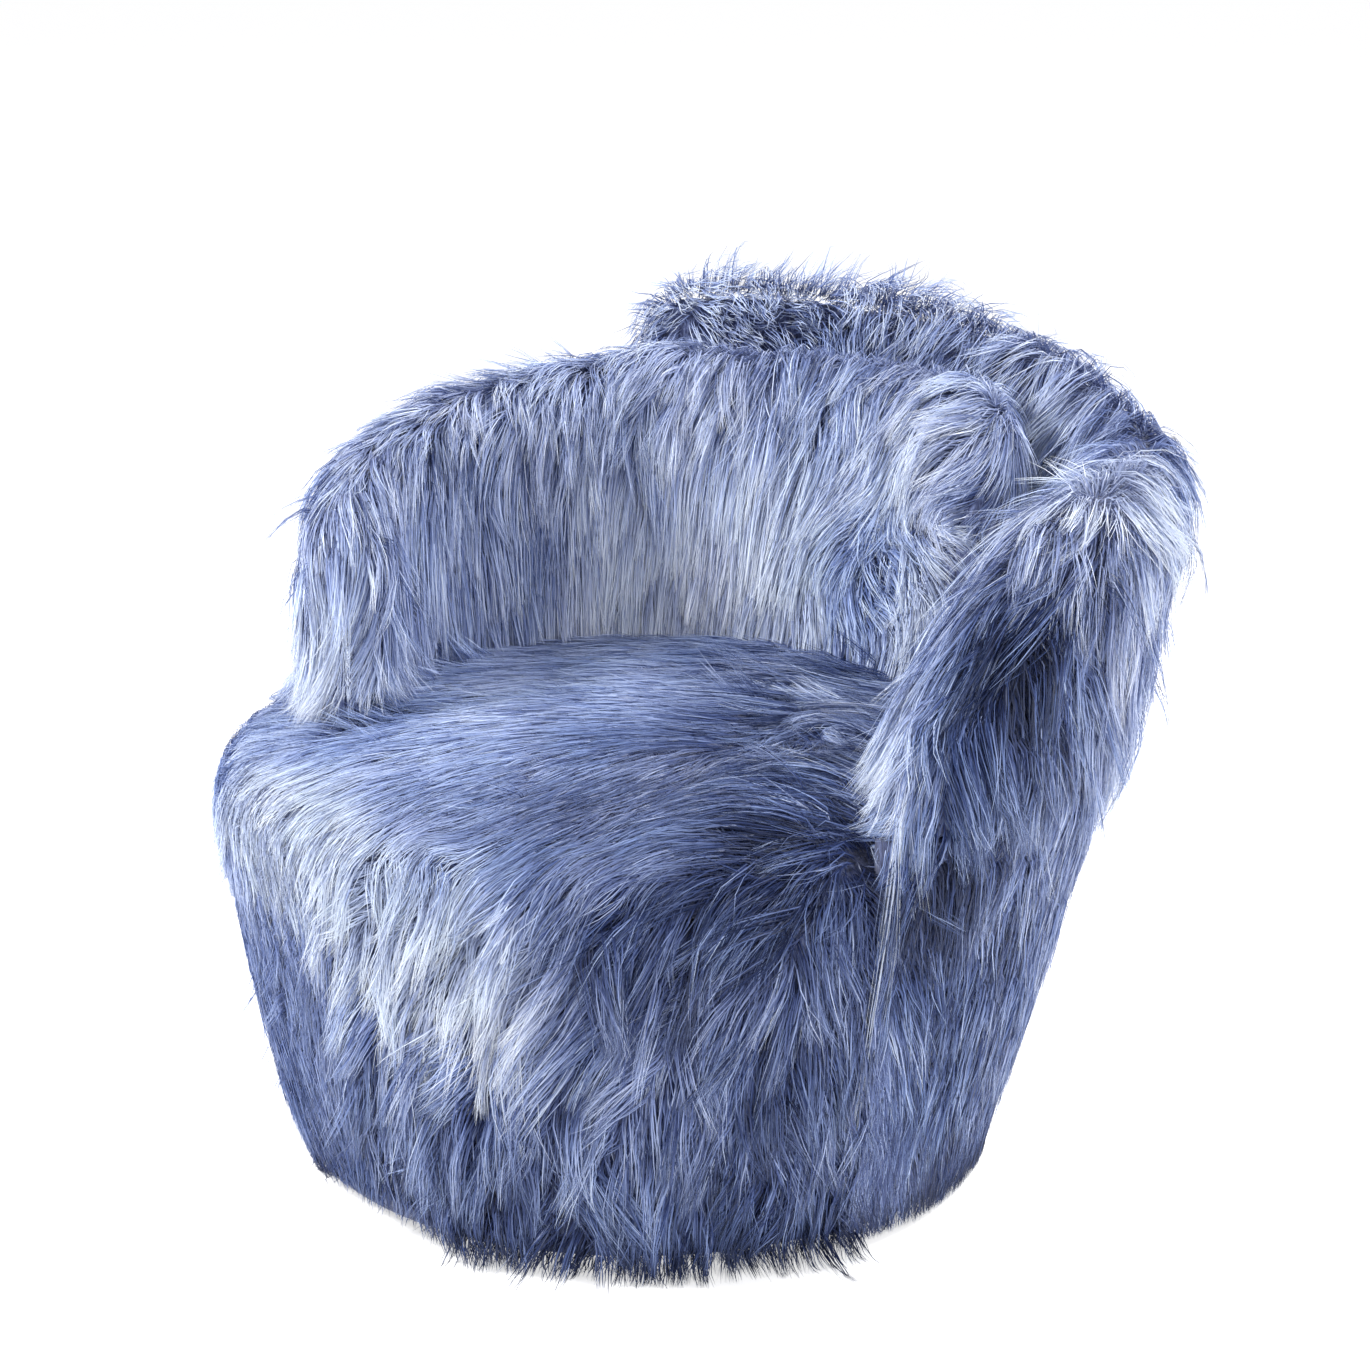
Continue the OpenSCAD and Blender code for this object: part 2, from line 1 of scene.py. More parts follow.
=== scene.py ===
"""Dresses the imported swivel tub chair: long combed fur over padded covers, and finishes for its frame.

Metres, in the frame of the CAD model: the origin is on the floor under the swivel, the open front faces -Y.
"""
import math
from functools import partial
import bmesh
import bpy
import numpy as np
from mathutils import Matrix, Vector


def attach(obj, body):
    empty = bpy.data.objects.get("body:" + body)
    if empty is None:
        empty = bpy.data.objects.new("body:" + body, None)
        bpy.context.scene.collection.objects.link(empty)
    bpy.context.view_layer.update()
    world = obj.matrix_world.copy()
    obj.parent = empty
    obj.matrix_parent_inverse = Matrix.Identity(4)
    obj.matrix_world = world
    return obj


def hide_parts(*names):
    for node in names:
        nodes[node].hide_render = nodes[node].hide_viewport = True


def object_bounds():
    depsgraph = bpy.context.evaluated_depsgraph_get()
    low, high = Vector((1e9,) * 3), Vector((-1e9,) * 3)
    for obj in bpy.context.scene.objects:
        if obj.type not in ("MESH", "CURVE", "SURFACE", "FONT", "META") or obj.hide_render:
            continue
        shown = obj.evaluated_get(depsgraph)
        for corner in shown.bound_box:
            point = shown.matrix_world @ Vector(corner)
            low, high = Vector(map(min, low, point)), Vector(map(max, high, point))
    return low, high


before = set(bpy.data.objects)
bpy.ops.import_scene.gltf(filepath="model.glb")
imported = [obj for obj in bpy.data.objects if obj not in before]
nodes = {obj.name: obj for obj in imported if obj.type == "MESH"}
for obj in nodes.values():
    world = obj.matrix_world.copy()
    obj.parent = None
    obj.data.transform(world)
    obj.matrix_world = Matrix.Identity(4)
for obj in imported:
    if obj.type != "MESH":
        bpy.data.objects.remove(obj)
cad_box = [list(corner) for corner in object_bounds()]

# Camera: three metres away, forty degrees round from the front, looking down a little

VIEW_TURN = math.radians(40)
VIEW_DOWN = math.radians(16.6)
camera_data = bpy.data.cameras.new("camera")
camera_data.sensor_width = 36
camera_data.lens = 93.15
camera_data.clip_end = 40
camera = bpy.data.objects.new("camera", camera_data)
camera.location = (1.9595, -2.272, 1.32)
camera.rotation_euler = (math.pi / 2 - VIEW_DOWN, 0, VIEW_TURN)
bpy.context.scene.collection.objects.link(camera)
bpy.context.scene.camera = camera

# Node trees in short: put adds a node, maths a sum


def put(tree, kind, inputs=(), **settings):
    """Adds a node with its settings, and links or sets its inputs by name or number. Gives its outputs."""
    node = tree.nodes.new(kind)
    for name, value in settings.items():
        setattr(node, name, value)
    for key, value in dict(inputs).items():
        socket = node.inputs[key]
        if isinstance(value, bpy.types.NodeSocket):
            tree.links.new(value, socket)
        elif socket.type == "RGBA" and len(value) == 3:
            socket.default_value = (*value, 1)
        else:
            socket.default_value = value
    return node.outputs


def maths(tree, kind, *values):
    return put(tree, "ShaderNodeMath", dict(enumerate(values)), operation=kind)[0]


def started(name):
    """A material with an empty node tree."""
    material = bpy.data.materials.new(name)
    material.use_nodes = True
    material.node_tree.nodes.clear()
    return material, material.node_tree


# Floor and light


def lit_floor():
    """A pale floor that shows white to the camera and keeps the chair's shadow."""
    bpy.ops.mesh.primitive_plane_add(size=60)
    floor = bpy.context.object
    floor.name = "studio_floor"
    material, tree = started("studio_floor")
    paint = put(tree, "ShaderNodeBsdfPrincipled", {"Base Color": (0.86, 0.86, 0.87), "Roughness": 0.9})[0]
    glow = put(tree, "ShaderNodeEmission", {"Strength": 0.62})[0]
    rays = put(tree, "ShaderNodeLightPath")
    seen = maths(tree, "MAXIMUM", rays["Is Camera Ray"], rays["Is Glossy Ray"])
    both = put(tree, "ShaderNodeAddShader", {0: paint, 1: glow})[0]
    mix = put(tree, "ShaderNodeMixShader", {0: seen, 1: paint, 2: both})[0]
    put(tree, "ShaderNodeOutputMaterial", {"Surface": mix})
    floor.data.materials.append(material)


def lit_world():
    """Soft even light, and white behind the chair."""
    world = bpy.data.worlds.new("studio")
    bpy.context.scene.world = world
    world.use_nodes = True
    tree = world.node_tree
    tree.nodes.clear()
    rays = put(tree, "ShaderNodeLightPath")
    seen = maths(tree, "MAXIMUM", rays["Is Camera Ray"], rays["Is Transmission Ray"])
    level = put(tree, "ShaderNodeMapRange", {"To Min": 0.42, "To Max": 1.0, "Value": seen})[0]
    sky = put(tree, "ShaderNodeBackground", {"Color": (1, 1, 1), "Strength": level})[0]
    put(tree, "ShaderNodeOutputWorld", {"Surface": sky})


def soft_lamp(name, place, aim, size, power):
    data = bpy.data.lights.new(name, "AREA")
    data.shape = "DISK"
    data.size = size
    data.energy = power
    lamp = bpy.data.objects.new(name, data)
    lamp.location = place
    lamp.rotation_euler = (Vector(aim) - Vector(place)).to_track_quat("-Z", "Y").to_euler()
    bpy.context.scene.collection.objects.link(lamp)


bpy.context.scene.view_settings.view_transform = "Standard"
lit_floor()
lit_world()
soft_lamp("key", (-1.9, -2.1, 2.5), (0, 0, 0.4), 0.9, 140)
soft_lamp("fill", (2.7, -0.6, 1.7), (0, 0, 0.4), 1.4, 36)
soft_lamp("back", (0.9, 2.4, 2.3), (0, 0, 0.5), 1.4, 84)

# Shapes of the covers, repeated from the CAD source in metres

DRUM_R = 0.38
SEAT_H = 0.42
SHOULDER_H = 0.345
HEM = 0.012
INNER_H = 0.676
OUTER_H = 0.718
WING_OUT = 0.11
SKIRT_OUT = 0.054
FOOT_Z = 0.392
SKIRT_TOP = 0.384
END_ROUND = 0.044
END_DROP = 0.12
INNER_SPAN = (54, 228)
OUTER_SPAN = (-18, 132)
SIDE = ((0, 0.832), (0.2, 0.876), (0.47, 0.926), (0.72, 0.963), (0.9, 0.99), (1, 1))
CROWN = ((0, 1), (0.263, 0.973), (0.526, 0.893), (0.79, 0.76), (0.926, 0.6), (0.984, 0.36), (1, 0))
SKIRT = ((0, 0.746), (0.2, 0.79), (0.47, 0.86), (0.72, 0.914), (0.84, 0.947), (0.93, 0.975), (1, 1))
INNER_FOOT_IN = ((54, 0.645), (90, 0.632), (130, 0.618), (160, 0.6), (185, 0.58), (205, 0.566),
                 (228, 0.585))
INNER_FOOT_OUT = ((54, 0.925), (130, 0.925), (150, 0.92), (170, 0.905), (185, 0.885), (200, 0.845),
                  (215, 0.80), (228, 0.77))
INNER_RIM_IN = ((54, 0.83), (70, 0.832), (90, 0.821), (110, 0.8), (130, 0.768), (150, 0.724),
                (168, 0.679), (185, 0.632), (200, 0.6), (212, 0.582), (228, 0.595))
INNER_RIM_OUT = ((54, 1.0), (110, 1.0), (130, 1.02), (150, 1.0), (168, 0.965), (185, 0.92),
                 (200, 0.85), (212, 0.805), (228, 0.765))
INNER_CREST = ((54, 0.975), (70, 0.994), (90, 1), (110, 0.994), (130, 0.979), (150, 0.959),
               (168, 0.935), (185, 0.914), (200, 0.893), (214, 0.875), (228, 0.825))
OUTER_FOOT_IN = ((-18, -0.345), (-10, -0.691), (0, -0.967), (10, -1.036), (25, -1.036),
                 (34, -0.898), (44, -0.242), (50, 0.104), (132, 0.104))
OUTER_RIM_IN = ((-18, -0.173), (-10, -0.242), (0, -0.273), (10, -0.259), (22, -0.138), (38, 0.104),
                (46, 0.207), (52, 0.276), (90, 0.311), (132, 0.242))
OUTER_RIM_OUT = ((-18, 0.376), (-14, 0.555), (-8, 0.733), (0, 0.844), (10, 0.955), (22, 1),
                 (60, 1), (92, 0.933), (112, 0.822), (132, 0.688))
OUTER_FOOT_OUT = ((-18, 0.598), (-10, 0.879), (0, 1), (110, 1), (132, 0.879))
OUTER_CREST = ((-18, 0.135), (-14, 0.336), (-8, 0.525), (0, 0.687), (10, 0.807), (22, 0.828),
               (42, 0.816), (52, 0.834), (62, 0.868), (72, 0.914), (82, 0.939), (92, 0.966),
               (102, 0.985), (112, 1), (122, 1), (132, 0.978))
RISE = np.concatenate([np.linspace(0, 0.7, 17)[:-1], 0.7 + 0.3 * np.sin(np.linspace(0, math.pi / 2, 13))])


def table(pairs, at):
    """Values of a table of pairs at the given places."""
    return np.interp(at, [p[0] for p in pairs], [p[1] for p in pairs])


def eased(values, width=4):
    """A row of values with its corners rounded over a few neighbours."""
    padded = np.concatenate([2 * values[0] - values[width:0:-1], values,
                             2 * values[-1] - values[-2:-width - 2:-1]])
    window = np.hanning(2 * width + 3)[1:-1]
    return np.convolve(padded, window / window.sum(), "valid")


def mixed(a, b, t):
    return a + (b - a) * t


def unit(v):
    return v / np.maximum(np.linalg.norm(v, axis=-1, keepdims=True), 1e-9)


def smooth_step(low, high, x):
    t = np.clip((x - low) / (high - low), 0, 1)
    return t * t * (3 - 2 * t)


def drum_side(z):
    return DRUM_R * table(SIDE, (np.asarray(z) - HEM) / (SHOULDER_H - HEM))


class RoundSheet:
    """The seat's crown and the drum's side as one sheet, spread flat round the middle of the seat."""

    def __init__(self):
        crown = [(s * DRUM_R, mixed(SHOULDER_H, SEAT_H, z)) for s, z in CROWN]
        side = [(s * DRUM_R, mixed(HEM, SHOULDER_H, z)) for z, s in SIDE[-2::-1]]
        line = np.array(crown + side)
        along = np.concatenate([[0], np.cumsum(np.linalg.norm(np.diff(line, axis=0), axis=1))])
        self.reach = np.linspace(0, along[-1], 401)
        self.radius = eased(np.interp(self.reach, along, line[:, 0]), 9)
        self.height = eased(np.interp(self.reach, along, line[:, 1]), 9)
        self.radius[0] = 0
        self.slope_r = np.gradient(self.radius, self.reach)
        self.slope_z = np.gradient(self.height, self.reach)

    def place(self, spot):
        """The point, the normal and the two ways along the sheet at each spot."""
        far = np.maximum(np.linalg.norm(spot, axis=1), 1e-6)
        out = spot / far[:, None]
        s = np.minimum(far, self.reach[-1])
        past = far - s
        slope_r = np.interp(s, self.reach, self.slope_r)
        slope_z = np.interp(s, self.reach, self.slope_z)
        height = np.interp(s, self.reach, self.height) + past * slope_z
        radius = np.interp(s, self.reach, self.radius) + past * slope_r
        size = np.hypot(slope_r, slope_z)
        point = np.column_stack([out[:, 0] * radius, out[:, 1] * radius, height])
        normal = np.column_stack([-out[:, 0] * slope_z, -out[:, 1] * slope_z, slope_r]) / size[:, None]
        down = np.column_stack([out[:, 0] * slope_r, out[:, 1] * slope_r, slope_z])
        round_ = np.column_stack([-out[:, 1], out[:, 0], 0 * far]) * (radius / far)[:, None]
        x_way = down * out[:, :1] - round_ * out[:, 1:]
        y_way = down * out[:, 1:] + round_ * out[:, :1]
        return point, normal, x_way, y_way

    def scatter(self, draw):
        """Even spots by area, from a spread-out pair of numbers for each."""
        area = np.cumsum(self.radius)
        s = np.interp(draw[:, 0] * area[-1], area, self.reach)
        turn = draw[:, 1] * 2 * math.pi
        return np.column_stack([s * np.cos(turn), s * np.sin(turn)])

    def area(self):
        return 2 * math.pi * self.radius.sum() * self.reach[1]


class WingSheet:
    """A wing's skin as a sheet: along the wing, and from its inner foot over the crest to its outer foot."""

    def __init__(self, points):
        self.points = points
        self.along = np.gradient(points, axis=0)
        self.over = np.gradient(points, axis=1)
        normal = np.cross(self.over, self.along)
        for _ in range(2):
            normal[1:-1] = (normal[:-2] + 2 * normal[1:-1] + normal[2:]) / 4
        self.normal = unit(normal)
        self.normal[0], self.normal[-1] = self.normal[1], self.normal[-2]

    def look(self, grid, spot):
        """Values of a grid between its points."""
        rows, columns = grid.shape[:2]
        i = np.clip(spot[:, 0], 0, rows - 1.001)
        j = np.clip(spot[:, 1], 0, columns - 1.001)
        a, b = i.astype(int), j.astype(int)
        u, v = (i - a)[:, None], (j - b)[:, None]
        near_row = grid[a, b] * (1 - v) + grid[a, b + 1] * v
        far_row = grid[a + 1, b] * (1 - v) + grid[a + 1, b + 1] * v
        return near_row * (1 - u) + far_row * u

    def place(self, spot):
        """The point, the normal and the two ways along the sheet at each spot."""
        over = self.look(self.over, spot)
        past = spot[:, 1] - np.clip(spot[:, 1], 0, self.points.shape[1] - 1.001)
        point = self.look(self.points, spot) + over * past[:, None]
        return point, unit(self.look(self.normal, spot)), self.look(self.along, spot), over

    def cells(self):
        size = np.linalg.norm(np.cross(self.over, self.along), axis=2)
        return (size[:-1, :-1] + size[1:, 1:]) / 2

    def scatter(self, draw):
        """Even spots by area, from a spread-out pair of numbers for each."""
        cells = self.cells()
        rows = np.concatenate([[0], np.cumsum(cells.sum(1))])
        i = np.interp(draw[:, 0] * rows[-1], rows, np.arange(len(rows)))
        row = np.minimum(i.astype(int), len(cells) - 1)
        sums = np.concatenate([np.zeros((len(cells), 1)), np.cumsum(cells, 1)], 1)
        sums = sums / sums[:, -1:]
        flat = (sums + np.arange(len(cells))[:, None] * 2).ravel()
        j = np.interp(draw[:, 1] + row * 2, flat, np.tile(np.arange(sums.shape[1]), len(cells)))
        return np.column_stack([i, j])

    def area(self):
        return self.cells().sum()


def wing_angles(span):
    """Degrees along a wing, close together where its blunt ends round over."""
    first, last = span
    zone = math.degrees(END_ROUND / (DRUM_R * 0.8))
    bend = np.linspace(0, math.pi / 2, 12)
    grown = np.sin(bend)
    start = first + zone * (1 - np.cos(bend))
    middle = np.linspace(first + zone, last - zone, 150)[1:-1]
    finish = last - zone * (1 - np.cos(bend[::-1]))
    angles = np.concatenate([start, middle, finish])
    return angles, np.concatenate([grown, np.ones(len(middle)), grown[::-1]])


def crown_z(radius):
    return mixed(SHOULDER_H, SEAT_H, table(CROWN, radius / DRUM_R))


def over_crest(foot, rim, foot_z, top, grown):
    """Rings of a wing's section, inner foot to outer foot, drawn together by grown at its ends."""
    share = np.where(RISE > 0.7, np.sqrt(np.maximum(0, 1 - ((RISE - 0.7) / 0.3) ** 2)), 1.0)
    middle = mixed((foot[0] + foot[1])[:, None], (rim[0] + rim[1])[:, None], RISE) / 2
    half = mixed((foot[1] - foot[0])[:, None], (rim[1] - rim[0])[:, None], RISE) / 2
    half = half * share * grown[:, None]
    inner_z, outer_z = [mixed(z[:, None], top[:, None], RISE) for z in foot_z]
    radius = np.concatenate([middle - half, (middle + half)[:, -2::-1]], axis=1)
    height = np.concatenate([inner_z, outer_z[:, -2::-1]], axis=1)
    return radius, height


def swept(angles, radius, height):
    turn = np.radians(angles)[:, None]
    return np.stack([radius * np.cos(turn), radius * np.sin(turn), height], axis=2)


def inner_wing_sheet(inset=0.0):
    angles, grown = wing_angles(INNER_SPAN)
    foot = [DRUM_R * eased(table(t, angles)) for t in (INNER_FOOT_IN, INNER_FOOT_OUT)]
    rim = [DRUM_R * eased(table(t, angles)) for t in (INNER_RIM_IN, INNER_RIM_OUT)]
    top = INNER_H * eased(table(INNER_CREST, angles)) * (1 - END_DROP * (1 - grown)) - inset
    foot_z = [crown_z(f) - max(inset - 0.002, 0) for f in foot]
    foot = [foot[0] + inset, foot[1] - inset]
    rim = [rim[0] + inset, rim[1] - inset]
    return WingSheet(swept(angles, *over_crest(foot, rim, foot_z, top, grown)))


def skirt_foot(angles):
    """The outer wing's outer foot, where the skirt hangs from."""
    return DRUM_R + SKIRT_OUT * eased(table(OUTER_FOOT_OUT, angles))


def outer_wing_sheet(inset=0.0):
    """The wing and, past its outer foot, the skirt down to the hem. It stays thicker than its core."""
    angles, grown = wing_angles(OUTER_SPAN)
    foot_in = DRUM_R + WING_OUT * eased(table(OUTER_FOOT_IN, angles))
    foot_out = skirt_foot(angles)
    rim = [DRUM_R + WING_OUT * eased(table(t, angles)) for t in (OUTER_RIM_IN, OUTER_RIM_OUT)]
    top = mixed(FOOT_Z, OUTER_H, eased(table(OUTER_CREST, angles)))
    top = top - (1 - grown) * np.minimum(END_DROP * top, (top - FOOT_Z) * 0.9) - inset
    foot_z = [np.maximum(FOOT_Z, crown_z(np.minimum(foot_in, DRUM_R))), np.full(len(angles), FOOT_Z)]
    thin = [np.clip((pair[1] - pair[0]) / 2 - 0.013, 0, inset) for pair in ((foot_in, foot_out), rim)]
    foot = [foot_in + thin[0], foot_out - thin[0]]
    rim = [rim[0] + thin[1], rim[1] - thin[1]]
    radius, height = over_crest(foot, rim, foot_z, top, grown)
    level = np.linspace(1, 0, 26)[1:]
    z = mixed(HEM, SKIRT_TOP, level)
    face = table(SKIRT, level) * (foot_out[:, None] - inset)
    face = mixed(drum_side(z), face, grown[:, None] ** 0.5)
    radius = np.concatenate([radius, face], axis=1)
    height = np.concatenate([height, np.tile(z, (len(angles), 1))], axis=1)
    return WingSheet(swept(angles, radius, height))


# Combing: which way the hair lies

RIGHT = np.array([math.cos(VIEW_TURN), math.sin(VIEW_TURN), 0.0])
NEAR = np.array([math.sin(VIEW_TURN), -math.cos(VIEW_TURN), 0.0])
DOWN = np.array([0.0, 0.0, -1.0])


def ripple(point, scale, seed, waves=7):
    """Smooth noise from -1 to 1 over a length scale, the same each run."""
    dice = np.random.default_rng(seed)
    ways = unit(dice.normal(size=(waves, 3))) * dice.uniform(0.6, 1.5, (waves, 1)) / scale
    shifts = dice.uniform(0, 2 * math.pi, waves)
    return np.clip(np.sin(2 * math.pi * point @ ways.T + shifts).mean(1) * 2.2, -1, 1)


def turned_about(way, normal, angle):
    """Turns a way about the normal by an angle."""
    side = np.cross(normal, way)
    return way * np.cos(angle)[:, None] + side * np.sin(angle)[:, None]


def from_spots(point, normal, spots):
    """Sum of the pushes away from whorls: middle, reach, strength, twist, and how sudden the middle is."""
    push = np.zeros_like(point)
    for middle, reach, strength, twist, sudden in spots:
        away = point - np.array(middle)
        far = np.linalg.norm(away, axis=1, keepdims=True)
        share = far / reach
        force = strength * np.exp(-share ** 2) * np.where(sudden, 1.0, 2.33 * share)
        way = away / np.maximum(far, 1e-6)
        push += force * (way * math.cos(twist) + np.cross(normal, way) * math.sin(twist))
    return push


def bearing(point):
    return np.degrees(np.arctan2(point[:, 1], point[:, 0]))


def round_way(point):
    return unit(np.column_stack([-point[:, 1], point[:, 0], 0 * point[:, 0]]))


def outward(normal):
    """The level part of the normals."""
    return np.column_stack([normal[:, :2], 0 * normal[:, 0]])


SEAT_WHORLS = (((0.115, -0.09, 0.415), 0.10, 0.7, 0.5, False), ((0.352, -0.128, 0.38), 0.10, 2.2, 0, False),
               ((0.079, -0.351, 0.383), 0.028, 0.9, 1.2, False), ((0.17, 0.05, 0.415), 0.06, 0.8, 1.5, False))
INNER_WHORLS = (((0.045, 0.261, 0.495), 0.05, 1.2, 1.0, False), ((0.12, 0.25, 0.56), 0.07, 1.0, 1.9, False),
                ((0.17, 0.30, 0.665), 0.06, 1.5, 0, True))
OUTER_WHORLS = (((0.411, 0.090, 0.660), 0.075, 2.2, 0, True), ((0.395, -0.088, 0.49), 0.04, 0.5, 1.3, False))
SIDE_LEAN = ((-180, 0.05), (-135, 0.08), (-112, 0.12), (-96, 0.3), (-80, 0.62), (-62, 0.7), (-50, 0.5),
             (-38, 0.25), (-27, -0.05), (-18, -0.3), (-12, 0.1), (60, 0.1), (180, 0.05))


def seat_flow(point, normal):
    top = smooth_step(0.5, 0.97, normal[:, 2])[:, None]
    lean = -table(SIDE_LEAN, bearing(point)) * smooth_step(0.02, 0.3, point[:, 2])
    side = DOWN + round_way(point) * lean[:, None]
    toward = smooth_step(-0.05, 0.30, point @ NEAR)[:, None]
    flat = -RIGHT + (0.12 + 0.75 * toward) * NEAR
    return mixed(side, flat, top) + from_spots(point, normal, SEAT_WHORLS)


def inner_flow(point, normal):
    turn = bearing(point) % 360
    crest = smooth_step(0.50, 0.66, point[:, 2])
    along = (0.2 + 1.1 * smooth_step(105, 190, turn)) * crest + 0.06
    front = smooth_step(205, 226, turn)[:, None]
    foot = smooth_step(0.52, 0.45, point[:, 2])[:, None] * front
    flow = DOWN + round_way(point) * along[:, None] + 0.7 * outward(normal) * crest[:, None]
    flow = flow + 0.5 * front * NEAR - 0.7 * foot * RIGHT
    return flow + from_spots(point, normal, INNER_WHORLS)


def outer_flow(point, normal):
    turn = bearing(point)
    crest = smooth_step(0.52, 0.68, point[:, 2])
    arm = 1 - smooth_step(0, 30, turn)
    lean = -0.25 * arm * crest + 0.12 * (1 - crest)
    flow = DOWN + round_way(point) * lean[:, None] + 0.8 * outward(normal) * crest[:, None]
    ridge = (smooth_step(0.685, 0.71, point[:, 2]) * smooth_step(45, 65, turn))[:, None]
    ridge = np.maximum(ridge, (crest * smooth_step(102, 110, turn))[:, None])
    flow = flow * (1 - 0.75 * ridge) - 1.3 * ridge * round_way(point)
    flow = mixed(flow, DOWN, 0.85 * smooth_step(118, 126, turn)[:, None])
    arm_top = (smooth_step(0.2, 0.7, normal[:, 2]) * (1 - smooth_step(8, 24, turn)))[:, None]
    flow = flow * (1 - 0.8 * arm_top) + arm_top * (0.6 * DOWN - 1.2 * round_way(point))
    return flow + from_spots(point, normal, OUTER_WHORLS)


# Painted light on the pile: where it is painted lighter as painted sheen, or darker as painted shade, as its
# combing would catch or lose the light: x, y, z, a reach and how much

SEAT_SHEEN_AND_SHADE = (
    (-0.11, -0.34, 0.38, 0.07, 0.50), (-0.14, -0.34, 0.35, 0.06, 0.26), (-0.19, -0.32, 0.37, 0.05, 0.18),
    (-0.07, -0.36, 0.34, 0.05, 0.32), (-0.03, -0.36, 0.37, 0.06, 0.36), (0.02, -0.37, 0.33, 0.05, 0.26),
    (0.05, -0.37, 0.35, 0.06, 0.40), (0.06, -0.35, 0.38, 0.03, 0.24), (0.08, -0.37, 0.31, 0.06, 0.36),
    (0.01, -0.37, 0.29, 0.05, 0.26), (0.05, -0.36, 0.26, 0.05, 0.16), (0.12, -0.36, 0.34, 0.05, 0.42),
    (0.12, -0.34, 0.39, 0.03, 0.26), (0.16, -0.34, 0.35, 0.04, 0.28), (0.17, -0.34, 0.30, 0.05, 0.28),
    (0.13, -0.35, 0.28, 0.05, 0.38), (0.18, -0.32, 0.26, 0.04, 0.20), (0.12, -0.34, 0.24, 0.05, 0.20),
    (0.09, -0.35, 0.38, 0.02, -0.50), (0.20, -0.32, 0.36, 0.05, -0.15), (0.04, -0.35, 0.19, 0.05, -0.10),
    (0.24, -0.28, 0.27, 0.10, -0.05), (0.32, -0.17, 0.26, 0.08, -0.06), (0.31, -0.16, 0.17, 0.08, -0.10),
    (0.28, -0.25, 0.34, 0.04, -0.12), (0.22, -0.25, 0.08, 0.10, -0.07), (0.33, -0.15, 0.38, 0.06, -0.34),
    (0.25, -0.27, 0.37, 0.05, -0.12), (0.14, -0.22, 0.41, 0.10, -0.32), (0.04, -0.10, 0.42, 0.07, -0.06),
    (0.15, -0.04, 0.42, 0.09, -0.24), (0.24, -0.13, 0.40, 0.09, -0.15), (-0.09, -0.19, 0.41, 0.12, 0.06))
INNER_SHEEN_AND_SHADE = (
    (-0.13, 0.21, 0.48, 0.10, 0.28), (-0.08, 0.23, 0.45, 0.07, 0.26), (-0.09, 0.24, 0.50, 0.10, 0.26),
    (-0.10, 0.24, 0.54, 0.08, 0.24), (-0.05, 0.28, 0.56, 0.07, 0.22), (-0.16, 0.19, 0.46, 0.08, 0.26),
    (-0.20, -0.20, 0.49, 0.07, 0.48), (-0.20, -0.19, 0.54, 0.06, 0.24), (-0.19, -0.12, 0.53, 0.04, -0.10),
    (0.04, 0.26, 0.50, 0.04, -0.34), (-0.01, 0.30, 0.63, 0.05, -0.10), (0.12, 0.28, 0.63, 0.06, 0.30),
    (0.14, 0.24, 0.48, 0.07, 0.42), (0.15, 0.24, 0.50, 0.06, 0.36), (0.16, 0.25, 0.54, 0.04, 0.16),
    (0.19, 0.27, 0.60, 0.03, -0.12), (0.00, 0.26, 0.47, 0.06, 0.14), (-0.02, 0.26, 0.52, 0.07, 0.18),
    (0.04, 0.28, 0.58, 0.06, 0.14), (-0.11, 0.27, 0.62, 0.08, -0.09))
OUTER_SHEEN_AND_SHADE = (
    (0.44, -0.04, 0.55, 0.07, -0.40), (0.43, -0.02, 0.59, 0.05, -0.26), (0.43, -0.08, 0.49, 0.05, -0.20),
    (0.37, -0.10, 0.48, 0.04, 0.20), (0.33, -0.06, 0.48, 0.05, 0.44), (0.31, -0.02, 0.53, 0.05, 0.24),
    (0.37, -0.08, 0.53, 0.03, 0.36), (0.38, -0.03, 0.59, 0.03, 0.26), (0.46, 0.11, 0.62, 0.05, 0.12),
    (0.43, 0.12, 0.65, 0.05, 0.34), (0.40, 0.10, 0.65, 0.06, 0.36), (0.37, 0.18, 0.66, 0.05, 0.20),
    (0.16, 0.37, 0.62, 0.07, 0.46), (-0.22, 0.36, 0.67, 0.09, 0.16), (0.46, 0.06, 0.61, 0.03, -0.12),
    (0.38, -0.11, 0.44, 0.04, 0.10), (0.38, -0.11, 0.36, 0.05, -0.24), (0.46, 0.11, 0.55, 0.08, 0.22),
    (0.43, 0.15, 0.45, 0.07, 0.14), (0.44, -0.01, 0.42, 0.06, -0.12), (0.40, -0.09, 0.34, 0.05, -0.34),
    (0.38, -0.05, 0.24, 0.09, -0.15), (0.39, 0.01, 0.27, 0.08, -0.11), (0.35, -0.01, 0.13, 0.09, -0.11))

# Where the pile is a paler lavender, or below zero a clearer blue

SEAT_TINTS = (
    (-0.09, -0.19, 0.41, 0.12, -0.25), (0.13, -0.34, 0.27, 0.06, 0.35), (0.28, -0.25, 0.26, 0.12, 0.25),
    (0.09, -0.35, 0.38, 0.03, -0.4), (-0.11, -0.34, 0.38, 0.07, 0.15))
INNER_TINTS = (
    (-0.13, 0.21, 0.48, 0.12, 0.35), (0.04, 0.26, 0.50, 0.06, -0.9), (-0.05, 0.29, 0.61, 0.05, -0.4))
OUTER_TINTS = (
    (0.38, -0.11, 0.43, 0.06, -0.3), (0.46, 0.11, 0.55, 0.09, 0.3), (0.44, -0.05, 0.55, 0.07, -0.5),
    (0.36, -0.01, 0.20, 0.12, -0.3))


def near(point, middle, reach):
    """One at a middle, falling to nothing past its reach."""
    return np.exp(-(np.linalg.norm(point - np.array(middle), axis=1) / reach) ** 2)


def toned(point, spots):
    return sum(amount * near(point, middle, reach) for *middle, reach, amount in spots)


